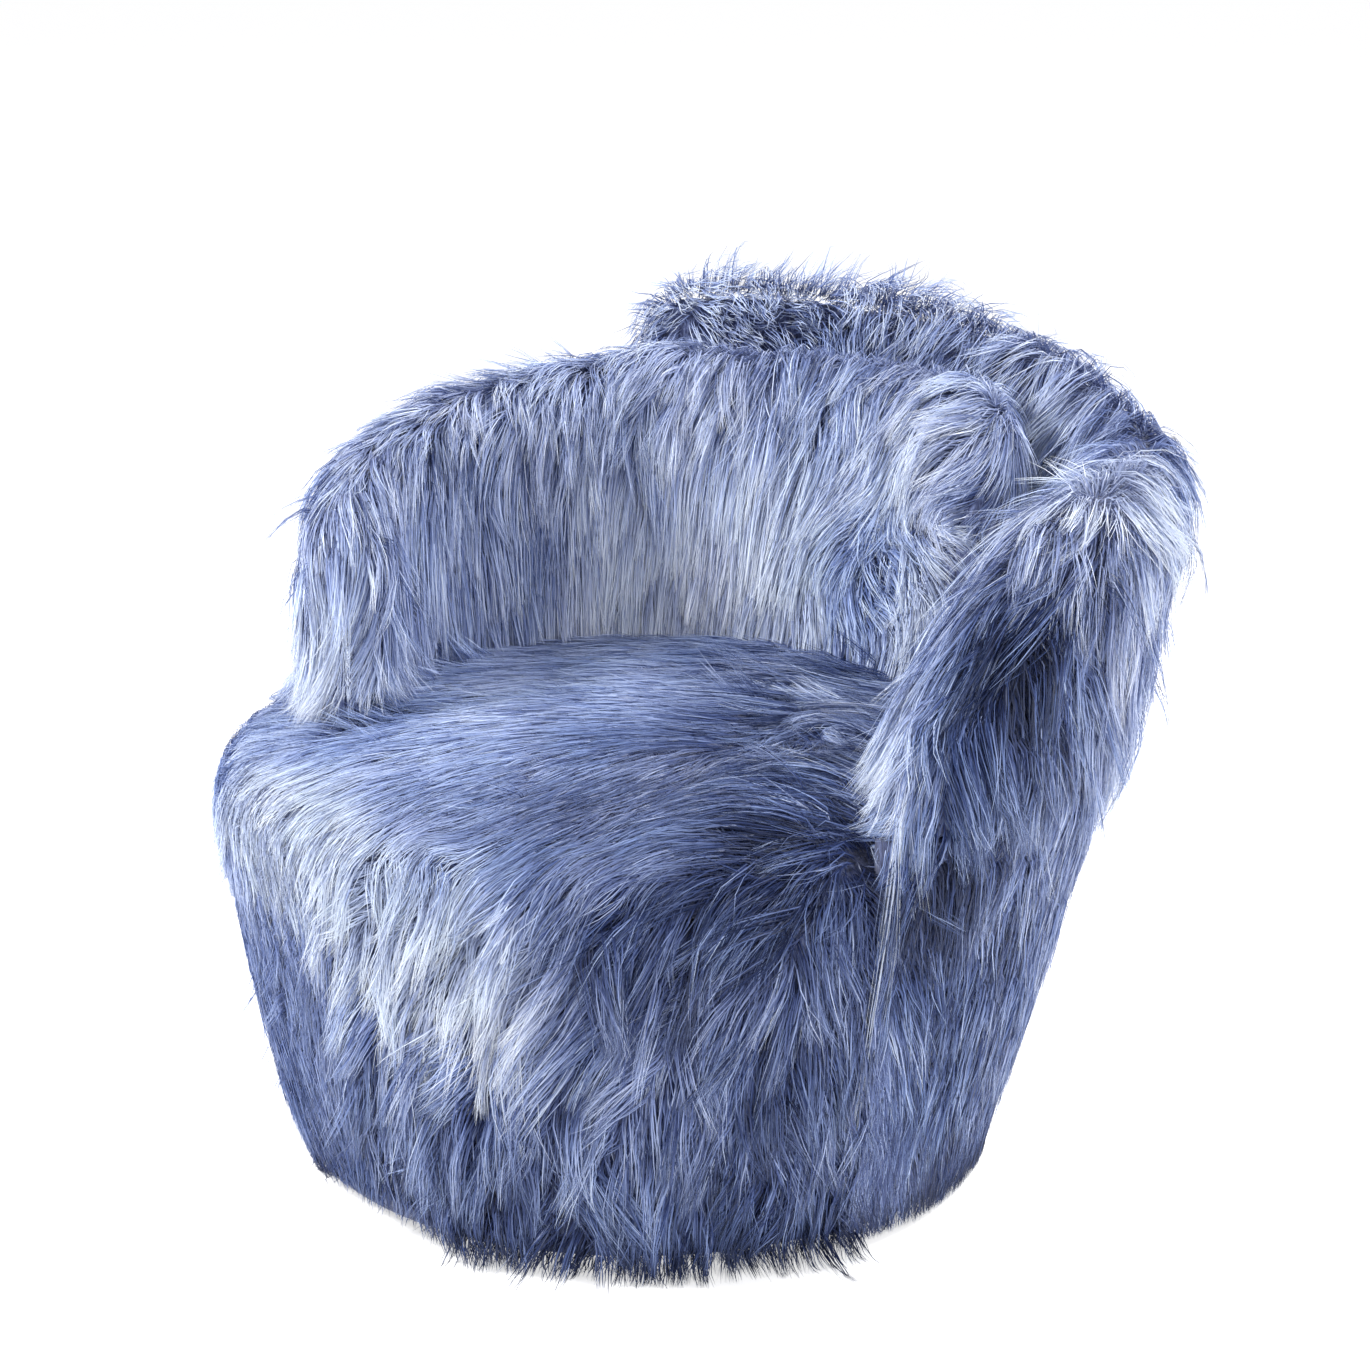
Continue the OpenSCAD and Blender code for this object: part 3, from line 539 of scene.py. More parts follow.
def styled(point, **values):
    """A style for each lock: every value is a number or one number for each lock."""
    # tone carries the painted sheen and shade; ridge sets how strongly each lock is painted lighter in its
    # middle and darker at its edge
    base = dict(keep=1.0, length=0.065, swirl=0.25, messy=1.0, pointed=0.7, gather=0.4, loft=1.0,
                sit=-0.006, fluff=0.004, stand=0.0, stray=0.03, wave=0.0015, tone=0.5, vary=1.0, draw=1.3,
                thick=1.0, tint=0.5, ridge=1.0, flare=0.0)
    base.update(values)
    return {name: np.broadcast_to(value, len(point)).astype(float).copy() for name, value in base.items()}


def seat_look(point, normal):
    """Calm on the left, shaggy towards the near arm. No hair under the wings or behind the skirt."""
    turn, z, upright = bearing(point), point[:, 2], normal[:, 2]
    top = smooth_step(0.6, 0.97, upright)
    radius = np.hypot(point[:, 0], point[:, 1])
    under_inner = ((turn > 54) | (turn < -132)) & (upright > 0.3)
    under_inner &= (radius > table(INNER_FOOT_IN, turn % 360) * DRUM_R + 0.05)
    under_inner &= (radius < table(INNER_FOOT_OUT, turn % 360) * DRUM_R - 0.03)
    under_outer = (turn > -12) & (turn < 54)
    under_outer &= radius > DRUM_R + WING_OUT * table(OUTER_FOOT_IN, turn) + 0.04
    behind_skirt = (turn > -13) & (turn < 128) & (upright < 0.9) & (radius > 0.3)
    behind_skirt &= (turn < 104) | (z < 0.33)
    left = smooth_step(-86, -106, turn) * (1 - top)
    calm = np.maximum(top * (1 - smooth_step(0.02, 0.2, point @ RIGHT)), left)
    low = smooth_step(0.06, 0.015, z) * smooth_step(-88, -72, turn)
    low = low * (1 + 0.9 * smooth_step(-55, -35, turn)) * (1 - smooth_step(20, 60, turn))
    far_left = smooth_step(-0.20, -0.34, point @ RIGHT)
    arm_foot = ((turn > 170) | (turn < -126)) & (radius > 0.2) & (radius < 0.34)
    arm_foot = arm_foot * (1 - far_left)
    corner = near(point, (-0.187, -0.324, 0.362), 0.065)
    edge = smooth_step(0.10, 0.03, z)
    flank = smooth_step(-100, -125, turn) * (1 - top) * (1 - edge)
    # Random tone, plus the painted sheen and painted shade of the seat's spots
    tone = 0.5 + 0.10 * ripple(point, 0.14, 5) + toned(point, SEAT_SHEEN_AND_SHADE)
    # Painted shade: a dark line down the crease where the front end of the skirt meets the drum
    painted_crease_shade = np.exp(-((turn + 19) * 0.0065 / 0.012) ** 2) * smooth_step(0.12, 0.2, z) * (1 - top)
    tone = tone - 0.25 * painted_crease_shade
    return styled(
        point, keep=np.where(under_inner | under_outer | behind_skirt, 0, 1),
        length=mixed(0.085, 0.055, calm), swirl=mixed(0.4, 0.1, calm), messy=mixed(1.3, 0.35, calm),
        pointed=mixed(0.75, 0.4, calm) * (1 - 0.8 * edge), gather=mixed(0.6, 0.0, calm) * (1 - edge),
        loft=mixed(1.3, 0.25, calm),
        sit=mixed(-0.007, -0.004, calm) - 0.009 * far_left + 0.006 * corner + 0.008 * flank,
        fluff=mixed(0.006, 0.0, calm) * (1 - edge) + 0.012 * corner,
        stand=0.45 * arm_foot * (upright > 0.6), wave=mixed(0.003, 0.0008, calm),
        stray=mixed(0.04, 0.01, calm), thick=mixed(1.0, 0.8, calm), vary=mixed(1.2, 0.4, calm),
        ridge=mixed(1.1, 0.25, calm), flare=0.014 * low - 0.003 * left,
        # Painted sheen: the calm pile is lighter where it lies smooth, more on its upward faces; painted
        # shade: the pile low at the front is darker near the floor
        tone=tone + 0.09 * calm + 0.07 * calm * top - 0.12 * low,
        tint=0.35 + 0.2 * ripple(point, 0.1, 15) + toned(point, SEAT_TINTS))


def faces_in(point, normal):
    """True where the sheet looks towards the chair's axis."""
    return (normal[:, :2] * point[:, :2]).sum(1) < 0


def inner_look(point, normal):
    """Sleek down its face, shaggy along the crest and at its front end, puckered near the other wing."""
    turn, z = bearing(point) % 360, point[:, 2]
    inside = faces_in(point, normal)
    crest = smooth_step(0.56, 0.66, z)
    hidden = (~inside) & (turn < 108) & (z < 0.58)
    pucker = near(point, (0.045, 0.261, 0.495), 0.06) + near(point, (0.10, 0.26, 0.55), 0.07)
    sleek = (1 - crest) * (1 - np.minimum(pucker, 1))
    front_end = smooth_step(200, 216, turn)
    low_front = front_end * (1 - smooth_step(0.44, 0.50, z))
    # Higher base tone: painted light that lifts the inner wing out of its shade; painted sheen and painted
    # shade from the spots; a painted highlight along the crest
    tone = 0.65 + 0.07 * ripple(point, 0.12, 7) + toned(point, INNER_SHEEN_AND_SHADE) + 0.06 * crest
    front = smooth_step(196, 214, turn)
    shaggy = np.maximum(crest, front)
    rise = smooth_step(110, 130, turn) * (1 - smooth_step(165, 185, turn)) * crest
    bare = front_end * (z < 0.435)
    bridge = near(point, (0.14, 0.32, 0.665), 0.055)
    skirted = front_end * smooth_step(0.53, 0.45, z)
    return styled(
        point, keep=np.where(hidden | (bare > 0.5), 0.0, np.where(inside | (crest > 0.3), 1.0, 0.7)),
        length=mixed(0.095, 0.064, crest) - 0.04 * np.minimum(pucker, 1) - 0.055 * low_front,
        swirl=0.05 + 0.5 * pucker, ridge=mixed(1.0, 1.3, sleek), pointed=mixed(0.95, 0.75, shaggy),
        draw=mixed(0.8, 1.1, shaggy), gather=mixed(0.1, 0.45, shaggy), loft=mixed(0.9, 1.4, shaggy),
        sit=-0.007 + 0.004 * rise, fluff=mixed(0.001, 0.006, crest) + 0.006 * front + 0.014 * skirted,
        messy=mixed(0.22, 1.3, crest) + 1.2 * pucker, stray=mixed(0.012, 0.06, crest) + 0.05 * front,
        stand=0.25 * rise + 0.4 * bridge + 0.12 * skirted, wave=mixed(0.0006, 0.0018, shaggy), vary=1.2,
        tone=tone, tint=0.55 + 0.2 * ripple(point, 0.1, 17) + toned(point, INNER_TINTS))


def outer_look(point, normal):
    """Shaggy on the arm, standing along the crest and the step at its end, quieter down the skirt."""
    turn, z = bearing(point), point[:, 2]
    inside = faces_in(point, normal)
    crest = smooth_step(0.58, 0.68, z)
    hidden = inside & (turn > 58) & (turn < 102) & (z < 0.56)
    pit = inside * near(point, (0.16, 0.375, 0.60), 0.08)
    spiky = 0.6 * near(point, (0.437, 0.133, 0.637), 0.045) + 0.15 * near(point, (0.443, 0.14, 0.50), 0.05)
    skirt = 1 - smooth_step(0.34, 0.39, z)
    back = smooth_step(58, 80, turn) * smooth_step(0.62, 0.68, z)
    end = smooth_step(84, 100, turn)
    step = end * crest
    top = np.maximum(back, step)
    lobe = near(point, (0.37, -0.10, 0.43), 0.07)
    lip = near(point, (0.368, -0.08, 0.505), 0.06)
    fringe = smooth_step(6, -4, turn) * smooth_step(0.365, 0.385, z) * smooth_step(0.48, 0.42, z)
    foot = near(point[:, 2:], (0.41,), 0.05) * smooth_step(-8, 5, turn)
    tuck = smooth_step(0.14, 0.03, z)
    # Painted sheen and painted shade from the spots; painted highlights on the back crest, on the arm's inner
    # face near its front and along the crest's top; painted shade down the skirt towards the floor and on the
    # step's face
    tone = 0.56 + 0.08 * ripple(point, 0.13, 9) + toned(point, OUTER_SHEEN_AND_SHADE) + 0.08 * back
    tone = tone + 0.08 * (1 - smooth_step(0, 40, turn)) * inside - 0.10 * tuck
    step_face = end * inside * (1 - smooth_step(0.68, 0.70, z))
    tone = tone - 0.03 * step_face + 0.10 * top * smooth_step(0.69, 0.71, z)
    raised = np.random.default_rng(44).uniform(-0.1, 1.35, len(point))
    return styled(
        point, keep=np.where(hidden, 0.0, 1.0),
        length=mixed(mixed(0.095, 0.06, crest), 0.065, skirt) - 0.062 * fringe
        - 0.030 * smooth_step(102, 110, turn) * crest,
        swirl=0.2 + 0.2 * top, pointed=(mixed(0.9, 0.65, skirt) - 0.35 * top) * (1 - 0.7 * tuck), draw=1.0,
        gather=mixed(0.6, 0.18, skirt) * (1 - 0.8 * top) * (1 - tuck),
        loft=mixed(1.7, 0.5, skirt) - 0.9 * top,
        sit=-0.007 - 0.006 * foot - 0.008 * tuck + raised * (0.011 * step + 0.009 * back) + 0.014 * lip,
        fluff=mixed(0.009, 0.001, skirt) + 0.009 * lobe + 0.010 * spiky + 0.004 * top,
        stand=np.minimum(0.38 * top + 0.6 * pit + 0.25 * spiky, 0.7),
        messy=mixed(0.8, 0.6, skirt) + 1.0 * top,
        stray=mixed(0.04, 0.10, crest) * (1 - skirt) + 0.10 * top + 0.08 * spiky,
        ridge=1 - 0.6 * top, wave=mixed(0.002, 0.0015, skirt), vary=1.2, tone=tone,
        tint=0.5 + 0.2 * ripple(point, 0.1, 19) + toned(point, OUTER_TINTS))


# Locks and strands

STRAND_WIDTH = 0.00102
STRANDS_PER_PIECE = 23000
MOST_UPRIGHT = 0.036
STAND_SHORTENS = 0.72
LOCK_REACH = 0.95
STEPS = np.array([0.0, 0.2, 0.47, 0.74, 1.0])
CLOTH_LOW = np.array([cad_box[0][0] - 0.03, cad_box[0][1] - 0.03, 0.001])
CLOTH_HIGH = np.array([cad_box[1][0] + 0.031, cad_box[1][1] + 0.031, cad_box[1][2] + 0.028])
HEM_LEVEL = ((-180, 0.004), (-116, 0.006), (-108, 0.018), (-98, 0.025), (-87, 0.023), (-81, 0.004),
             (-60, 0.001), (0, 0.002), (60, 0.004), (180, 0.004))


def combed(sheet, spot, flow, length, stray):
    """Walks each hair over the sheet along the flow. Gives its points and normals at STEPS."""
    points, normals = [], []
    for k in range(len(STEPS)):
        point, normal, x_way, y_way = sheet.place(spot)
        points.append(point)
        normals.append(normal)
        if k + 1 == len(STEPS):
            break
        for half in range(2):
            if half:
                point, normal, x_way, y_way = sheet.place(spot)
            way = flow(point, normal)
            way = way - normal * (way * normal).sum(1, keepdims=True)
            way = turned_about(unit(way), normal, stray)
            step = way * (length * (STEPS[k + 1] - STEPS[k]) / 2)[:, None]
            xx, xy, yy = [(a * b).sum(1) for a, b in ((x_way, x_way), (x_way, y_way), (y_way, y_way))]
            bx, by = (step * x_way).sum(1), (step * y_way).sum(1)
            det = np.maximum(xx * yy - xy * xy, 1e-12)
            spot = spot + np.column_stack([yy * bx - xy * by, xx * by - xy * bx]) / det[:, None]
    return np.stack(points, 1), np.stack(normals, 1)


def spread(count, seed):
    """Evenly spread pairs of numbers from 0 to 1."""
    n = np.arange(count) + 1
    shift = np.random.default_rng(seed).uniform(size=2)
    return np.column_stack([(n * 0.7548776662 + shift[0]) % 1, (n * 0.5698402910 + shift[1]) % 1])


def to_hem(point, length, dice):
    """Shortens hair that would hang below the hem."""
    low = table(HEM_LEVEL, bearing(point)) + dice.uniform(-0.001, 0.005, len(point))
    return np.minimum(length, np.maximum((point[:, 2] - low) * 1.04, 0.006))


def nearest_of(roots, groups):
    """The nearest group root to each root."""
    found = np.empty(len(roots), int)
    for start in range(0, len(roots), 1500):
        part = roots[start:start + 1500]
        found[start:start + 1500] = ((part[:, None] - groups[None]) ** 2).sum(2).argmin(1)
    return found


def grown_pile(sheet, flow, look, locks, per_lock, seed):
    """Strands of a pile over a sheet: points (strand, step, xyz), normals, tones, widths and tints.

    Tufts of about eight locks share a turn, a lift and a tone. Each lock has a guide hair, and its
    strands start round it and are drawn to it towards their tips.
    """
    dice = np.random.default_rng(seed)
    tuft_spot = sheet.scatter(spread(locks // 8, seed + 3))
    tuft_point, tuft_normal = sheet.place(tuft_spot)[:2]
    tuft = look(tuft_point, tuft_normal)
    g = len(tuft_spot)
    tuft_turn = tuft["swirl"] * ripple(tuft_point, 0.09, seed + 1) + dice.normal(0, 0.17, g) * tuft["messy"]
    tuft_length = to_hem(tuft_point, tuft["length"] * dice.uniform(0.85, 1.2, g), dice)
    tuft_path = combed(sheet, tuft_spot, flow, tuft_length, tuft_turn)[0]
    tuft_lift = dice.normal(0, 0.0026, g)
    tuft_tip = dice.uniform(-0.4, 1.4, g)
    tuft_tone = dice.normal(0, 0.055, g)
    tuft_rise = dice.uniform(0.4, 1.5, g)

    spot = sheet.scatter(spread(locks, seed))
    point, normal = sheet.place(spot)[:2]
    style = look(point, normal)
    low = point[:, 2] < table(HEM_LEVEL, bearing(point)) + 0.012
    keep = (style["keep"] > dice.uniform(size=locks)) & ~low
    spot, point = spot[keep], point[keep]
    style = {name: value[keep] for name, value in style.items()}
    n = len(spot)
    group = nearest_of(point, tuft_point)
    turn = tuft_turn[group] + dice.normal(0, 0.10, n) * style["messy"]
    length = style["length"] * dice.uniform(0.8, 1.2, n)
    wild = (dice.uniform(size=n) < 0.5 * style["stray"]) * dice.uniform(0.3, 1, n)
    stand = np.clip(style["stand"] * tuft_rise[group] * dice.uniform(0.6, 1.3, n) + 0.7 * wild, 0, 1)
    laid_share = length * (1 - STAND_SHORTENS * stand)
    guide, guide_up = combed(sheet, spot, flow, to_hem(point, laid_share, dice), turn)
    gather = style["gather"][:, None] * STEPS ** 1.4
    guide = mixed(guide, tuft_path[group], (0.8 * gather)[:, :, None])

    lock = np.repeat(np.arange(n), per_lock)
    m = len(lock)
    spacing = math.sqrt(sheet.area() / locks)
    x_way, y_way = sheet.place(spot)[2:]
    ring = np.sqrt(dice.uniform(size=m)) * spacing * LOCK_REACH
    around = dice.uniform(0, 2 * math.pi, m)
    dx = ring * np.cos(around) / np.linalg.norm(x_way, axis=1)[lock]
    dy = ring * np.sin(around) / np.linalg.norm(y_way, axis=1)[lock]
    own_spot = spot[lock] + np.column_stack([dx, dy])
    own_length = laid_share[lock] * dice.uniform(0.72, 1.04, m)
    own_length = to_hem(sheet.place(own_spot)[0], own_length, dice)
    edge = ring / (spacing * LOCK_REACH)
    own, up = combed(sheet, own_spot, flow, own_length, turn[lock] + dice.normal(0, 0.05, m))
    pull = style["pointed"][lock][:, None] * STEPS ** style["draw"][lock][:, None]
    path = mixed(own, guide[lock], pull[:, :, None])
    up = unit(mixed(up, guide_up[lock], 0.5))

    t = STEPS
    loft = style["loft"]
    body = style["sit"] + tuft_lift[group] * loft + dice.normal(0, 0.0024, n) * loft
    tip = style["fluff"] * tuft_tip[group] + dice.normal(0, 0.0015, n) * loft
    rise = np.minimum(t / 0.3, 1)
    height = -0.017 * (1 - rise) ** 2 + body[lock][:, None] * rise
    height = height + dice.normal(0, 0.0013, m)[:, None] * rise
    late = np.clip((t - 0.3) / 0.7, 0, 1)
    height = height + (tip[lock] + dice.normal(0, 0.002, m))[:, None] * late ** 2
    up_length = (length * stand)[lock] * dice.uniform(0.6, 1, m)
    height = height + np.minimum(up_length, MOST_UPRIGHT)[:, None] * t ** 1.2
    height = height - (0.0030 * edge * style["pointed"][lock])[:, None] * rise
    height = height + style["flare"][lock][:, None] * t ** 1.5
    loose = dice.uniform(size=m) < style["stray"][lock]
    height = height + (loose * dice.uniform(0.003, 0.014, m))[:, None] * t ** 2
    path = path + up * height[:, :, None]
    side = np.cross(up, unit(np.gradient(path, axis=1)))
    wave = style["wave"][lock] * dice.normal(1, 0.4, m)
    phase = dice.uniform(0, 2 * math.pi, n)[lock] + dice.normal(0, 0.5, m)
    swing = wave[:, None] * np.sin(phase[:, None] + t * 5.2) * t
    own_bend = dice.normal(0, 0.0028, m)[:, None] * t ** 2 * (1 + 3 * loose[:, None])
    path = path + side * (swing + own_bend)[:, :, None]
    vary = style["vary"]
    tone = style["tone"] + (tuft_tone[group] + dice.normal(0, 0.06, n)) * vary
    # Painted highlight and painted shade: each lock is lighter in its middle and darker at its edge, as
    # strongly as its ridge value
    tone = tone[lock] + dice.normal(0, 0.14, m) * vary[lock] + (0.09 - 0.18 * edge) * style["ridge"][lock]
    thick = style["thick"][lock] * dice.uniform(0.7, 1.25, m)
    path = np.minimum(np.maximum(path, CLOTH_LOW), CLOTH_HIGH)
    z = path[:, :, 2]
    floor_shade = 0.42 * smooth_step(0.045, 0.004, z) + 0.12 * smooth_step(0.16, 0.03, z)
    tint = np.clip(style["tint"][lock] + dice.normal(0, 0.12, m), 0, 1)
    return path, up, np.clip(tone[:, None] - floor_shade, 0.015, 0.985), thick, tint


def clear_of_drum(path, sheet):
    """Keeps hair that hangs outside the drum from sinking into its side."""
    radius = np.linalg.norm(path[:, :, :2], axis=2)
    skin = np.interp(path[:, :, 2], sheet.height[::-1], sheet.radius[::-1]) - 0.001
    beside = (path[:, :, 2] < SHOULDER_H + 0.03) & (radius > skin - 0.05)
    push = np.where(beside, np.maximum(skin - radius, 0), 0)
    path[:, :, :2] += path[:, :, :2] / np.maximum(radius, 1e-6)[:, :, None] * push[:, :, None]


def group_of(name, kind, inputs, outputs):
    """An empty node group with its sockets. Gives the tree and what comes in."""
    tree = bpy.data.node_groups.new(name, kind)
    for way, sockets in (("INPUT", inputs), ("OUTPUT", outputs)):
        for label, sort in sockets.items():
            tree.interface.new_socket(label, in_out=way, socket_type="NodeSocket" + sort)
    return tree, put(tree, "NodeGroupInput")


def given_out(tree, geometry, material):
    """The end of a geometry tree: real faces in their material."""
    real = put(tree, "GeometryNodeRealizeInstances", {"Geometry": geometry})[0]
    dressed = put(tree, "GeometryNodeSetMaterial", {"Geometry": real, "Material": material})[0]
    put(tree, "NodeGroupOutput", {"Geometry": dressed})


def either_way(tree, most, more):
    """A random number from -most to most."""
    ends = {2: maths(tree, "MULTIPLY", most, -1), 3: most}
    return put(tree, "FunctionNodeRandomValue", {**ends, **more}, data_type="FLOAT")[1]


def sweep_tree(material):
    """A node tree that turns combed lines into flat tapered strands, with a map along and across."""
    tree, start = group_of("sweep_strands", "GeometryNodeTree", {
        "Geometry": "Geometry", "Strand Width": "Float", "Tip Share": "Float", "Roll": "Float",
        "Seed": "Int"}, {"Geometry": "Geometry"})
    calc = partial(maths, tree)

    def read(name, kind="FLOAT"):
        return put(tree, "GeometryNodeInputNamedAttribute", {"Name": name}, data_type=kind)["Attribute"]

    def stored(label, geometry, value, kind, domain):
        inputs = {"Name": label, "Geometry": geometry, "Value": value}
        return put(tree, "GeometryNodeStoreNamedAttribute", inputs, data_type=kind, domain=domain)[0]

    lines = put(tree, "GeometryNodeMeshToCurve", {"Mesh": start["Geometry"]})[0]
    facing = put(tree, "GeometryNodeSetCurveNormal", {"Curve": lines, "Normal": read("up", "FLOAT_VECTOR")},
                 mode="FREE")[0]
    roll = either_way(tree, start["Roll"], {"ID": read("strand", "INT"), "Seed": start["Seed"]})
    tilt = put(tree, "GeometryNodeSetCurveTilt", {"Curve": facing, "Tilt": roll})[0]
    along = read("along")
    slim = calc("MULTIPLY", calc("POWER", along, 2.2), calc("SUBTRACT", 1, start["Tip Share"]))
    width = calc("MULTIPLY", calc("SUBTRACT", 1, slim), start["Strand Width"])
    width = calc("MULTIPLY", width, read("thick"))
    across = put(tree, "GeometryNodeCurvePrimitiveLine", {"Start": (0, -0.5, 0), "End": (0, 0.5, 0)})[0]
    across = stored("across", across, put(tree, "GeometryNodeSplineParameter")["Factor"], "FLOAT", "POINT")
    strands = put(tree, "GeometryNodeCurveToMesh", {
        "Curve": tilt, "Profile Curve": across, "Scale": width})[0]
    pair = put(tree, "ShaderNodeCombineXYZ", {
        "X": calc("MULTIPLY_ADD", along, 0.96, 0.02),
        "Y": calc("MULTIPLY_ADD", read("across"), 0.008, read("tone"))})[0]
    mapped = stored("OFBake", strands, pair, "FLOAT2", "CORNER")
    smooth = put(tree, "GeometryNodeSetShadeSmooth", {"Geometry": mapped})[0]
    given_out(tree, smooth, material)
    return tree


def node_mesh(name, host, tree, values):
    """The mesh that a node tree makes of an object, with the tree's named inputs set. Removes the object."""
    modifier = host.modifiers.new("made", "NODES")
    modifier.node_group = tree
    for socket in tree.interface.items_tree:
        if socket.in_out == "INPUT" and socket.name in values:
            modifier[socket.identifier] = values[socket.name]
    shown = host.evaluated_get(bpy.context.evaluated_depsgraph_get())
    made = bpy.data.meshes.new_from_object(shown)
    made.name = name
    bpy.data.objects.remove(host)
    return made


def seat_piece(name, mesh):
    """A piece that turns with the seat."""
    piece = bpy.data.objects.new(name, mesh)
    bpy.context.scene.collection.objects.link(piece)
    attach(piece, "seat")
    return piece


def strand_piece(name, pile, tree, seed):
    """One piece of pile, from its combed lines."""
    path, up, tone, thick, tint = pile
    count, steps = path.shape[:2]
    mesh = bpy.data.meshes.new(name + "_lines")
    mesh.vertices.add(count * steps)
    mesh.vertices.foreach_set("co", path.astype(np.float32).ravel())
    first = (np.arange(count)[:, None] * steps + np.arange(steps - 1)).ravel()
    mesh.edges.add(len(first))
    mesh.edges.foreach_set("vertices", np.column_stack([first, first + 1]).astype(np.int32).ravel())
    facing = mesh.attributes.new("up", "FLOAT_VECTOR", "POINT").data
    facing.foreach_set("vector", up.astype(np.float32).ravel())
    floats = {"along": np.tile(STEPS, count), "tone": tone.ravel(), "thick": np.repeat(thick, steps),
              "tint": np.repeat(tint, steps)}
    for label, values in floats.items():
        mesh.attributes.new(label, "FLOAT", "POINT").data.foreach_set("value", values.astype(np.float32))
    number = np.repeat(np.arange(count), steps).astype(np.int32)
    mesh.attributes.new("strand", "INT", "POINT").data.foreach_set("value", number)
    mesh.update()
    lines = bpy.data.objects.new(name + "_lines", mesh)
    bpy.context.scene.collection.objects.link(lines)
    made = node_mesh(name, lines, tree, {"Strand Width": STRAND_WIDTH, "Tip Share": 0.12, "Roll": 0.95,
                                         "Seed": seed})
    for label in ("up", "along", "thick", "strand", "across", "tone"):
        if label in made.attributes:
            made.attributes.remove(made.attributes[label])
    seat_piece(name, made)


def pile_pieces(name, pile, tree, seed):
    """A pile cut into pieces round the chair, each under the limit of faces."""
    path = pile[0]
    parts = max(1, math.ceil(len(path) / STRANDS_PER_PIECE))
    order = np.argsort((np.arctan2(path[:, 0, 1], path[:, 0, 0]) + 2.2) % (2 * math.pi))
    for k, chosen in enumerate(np.array_split(order, parts)):
        strand_piece(f"{name}_{k + 1}", tuple(values[chosen] for values in pile), tree, seed + k)


# Finishes


def ramp(tree, value, stops):
    node = tree.nodes.new("ShaderNodeValToRGB")
    tree.links.new(value, node.inputs["Fac"])
    band = node.color_ramp
    while len(band.elements) < len(stops):
        band.elements.new(0.5)
    for element, (place, colour) in zip(band.elements, stops):
        element.position = place
        element.color = (*colour, 1)
    return node.outputs["Color"]


def mixed_colour(tree, share, a, b, **more):
    return put(tree, "ShaderNodeMix", {0: share, 6: a, 7: b}, data_type="RGBA", **more)[2]


def veiled(tree, mask, strength, colour, veil):
    """A colour with another over it where a mask is, at a strength."""
    return mixed_colour(tree, maths(tree, "MULTIPLY", mask, strength), colour, veil)


BLUE_TONES = ((0.0, (0.008, 0.016, 0.06)), (0.25, (0.065, 0.105, 0.27)), (0.5, (0.25, 0.345, 0.61)),
              (0.75, (0.57, 0.69, 0.95)), (1.0, (0.84, 0.92, 1.0)))
LAVENDER_TONES = ((0.0, (0.009, 0.016, 0.06)), (0.25, (0.078, 0.108, 0.26)), (0.5, (0.36, 0.41, 0.61)),
                  (0.75, (0.70, 0.75, 0.93)), (1.0, (0.93, 0.95, 1.0)))
# Painted shade deep in the pile: each strand darker towards its root
ROOT_PAINTED_SHADE = ((0.0, (0.14, 0.17, 0.32)), (0.3, (0.5, 0.55, 0.72)), (0.6, (0.9, 0.93, 1.0)),
             (1.0, (1.0, 1.0, 1.0)))


def fur_material():
    """Long pile: painted shade darkens each strand towards its root, each strand in its own tone that carries
    the pile's painted sheen and shade, with a soft streak of light.
    """
    material, tree = started("blue_fur")
    spot = put(tree, "ShaderNodeUVMap", uv_map="OFBake")["UV"]
    parts = put(tree, "ShaderNodeSeparateXYZ", {0: spot})
    tint = put(tree, "ShaderNodeAttribute", attribute_name="tint")["Fac"]
    blue, lavender = [ramp(tree, parts["Y"], tones) for tones in (BLUE_TONES, LAVENDER_TONES)]
    tone = mixed_colour(tree, tint, blue, lavender)
    colour = mixed_colour(tree, 1, tone, ramp(tree, parts["X"], ROOT_PAINTED_SHADE), blend_type="MULTIPLY")
    shader = put(tree, "ShaderNodeBsdfPrincipled", {
        "Base Color": colour, "Roughness": 0.36, "Specular IOR Level": 0.45,
        "Specular Tint": (0.74, 0.82, 1), "Sheen Weight": 0.18, "Sheen Roughness": 0.4,
        "Sheen Tint": (0.8, 0.84, 1)})[0]
    put(tree, "ShaderNodeOutputMaterial", {"Surface": shader})
    return material


# Detail that several finishes share: groups that give masks, values and heights


def detail(name, inputs, outputs):
    return group_of(name, "ShaderNodeTree", {"Vector": "Vector", **inputs}, dict.fromkeys(outputs, "Float"))


def grouped(tree, name, **values):
    """A shared group inside a material, with its inputs linked or set."""
    return put(tree, "ShaderNodeGroup", values, node_tree=shared[name])


def squeezed(tree, vector, scale):
    return put(tree, "ShaderNodeVectorMath", {0: vector, 1: scale}, operation="MULTIPLY")[0]


def cloudy(tree, vector, scale, fine=3, rough=0.5, bend=0.0):
    return put(tree, "ShaderNodeTexNoise", {
        "Vector": vector, "Scale": scale, "Detail": fine, "Roughness": rough, "Distortion": bend})[0]


def on_object(tree, scale=(1, 1, 1)):
    return squeezed(tree, put(tree, "ShaderNodeTexCoord")["Object"], scale)


def axes_of(tree, vector):
    return put(tree, "ShaderNodeSeparateXYZ", {0: vector})


def upright_of(tree):
    """How far a face looks up."""
    return axes_of(tree, put(tree, "ShaderNodeNewGeometry")["Normal"])[2]


def within(tree, value, low, high):
    return put(tree, "ShaderNodeMapRange", {"Value": value, "From Min": low, "From Max": high})[0]


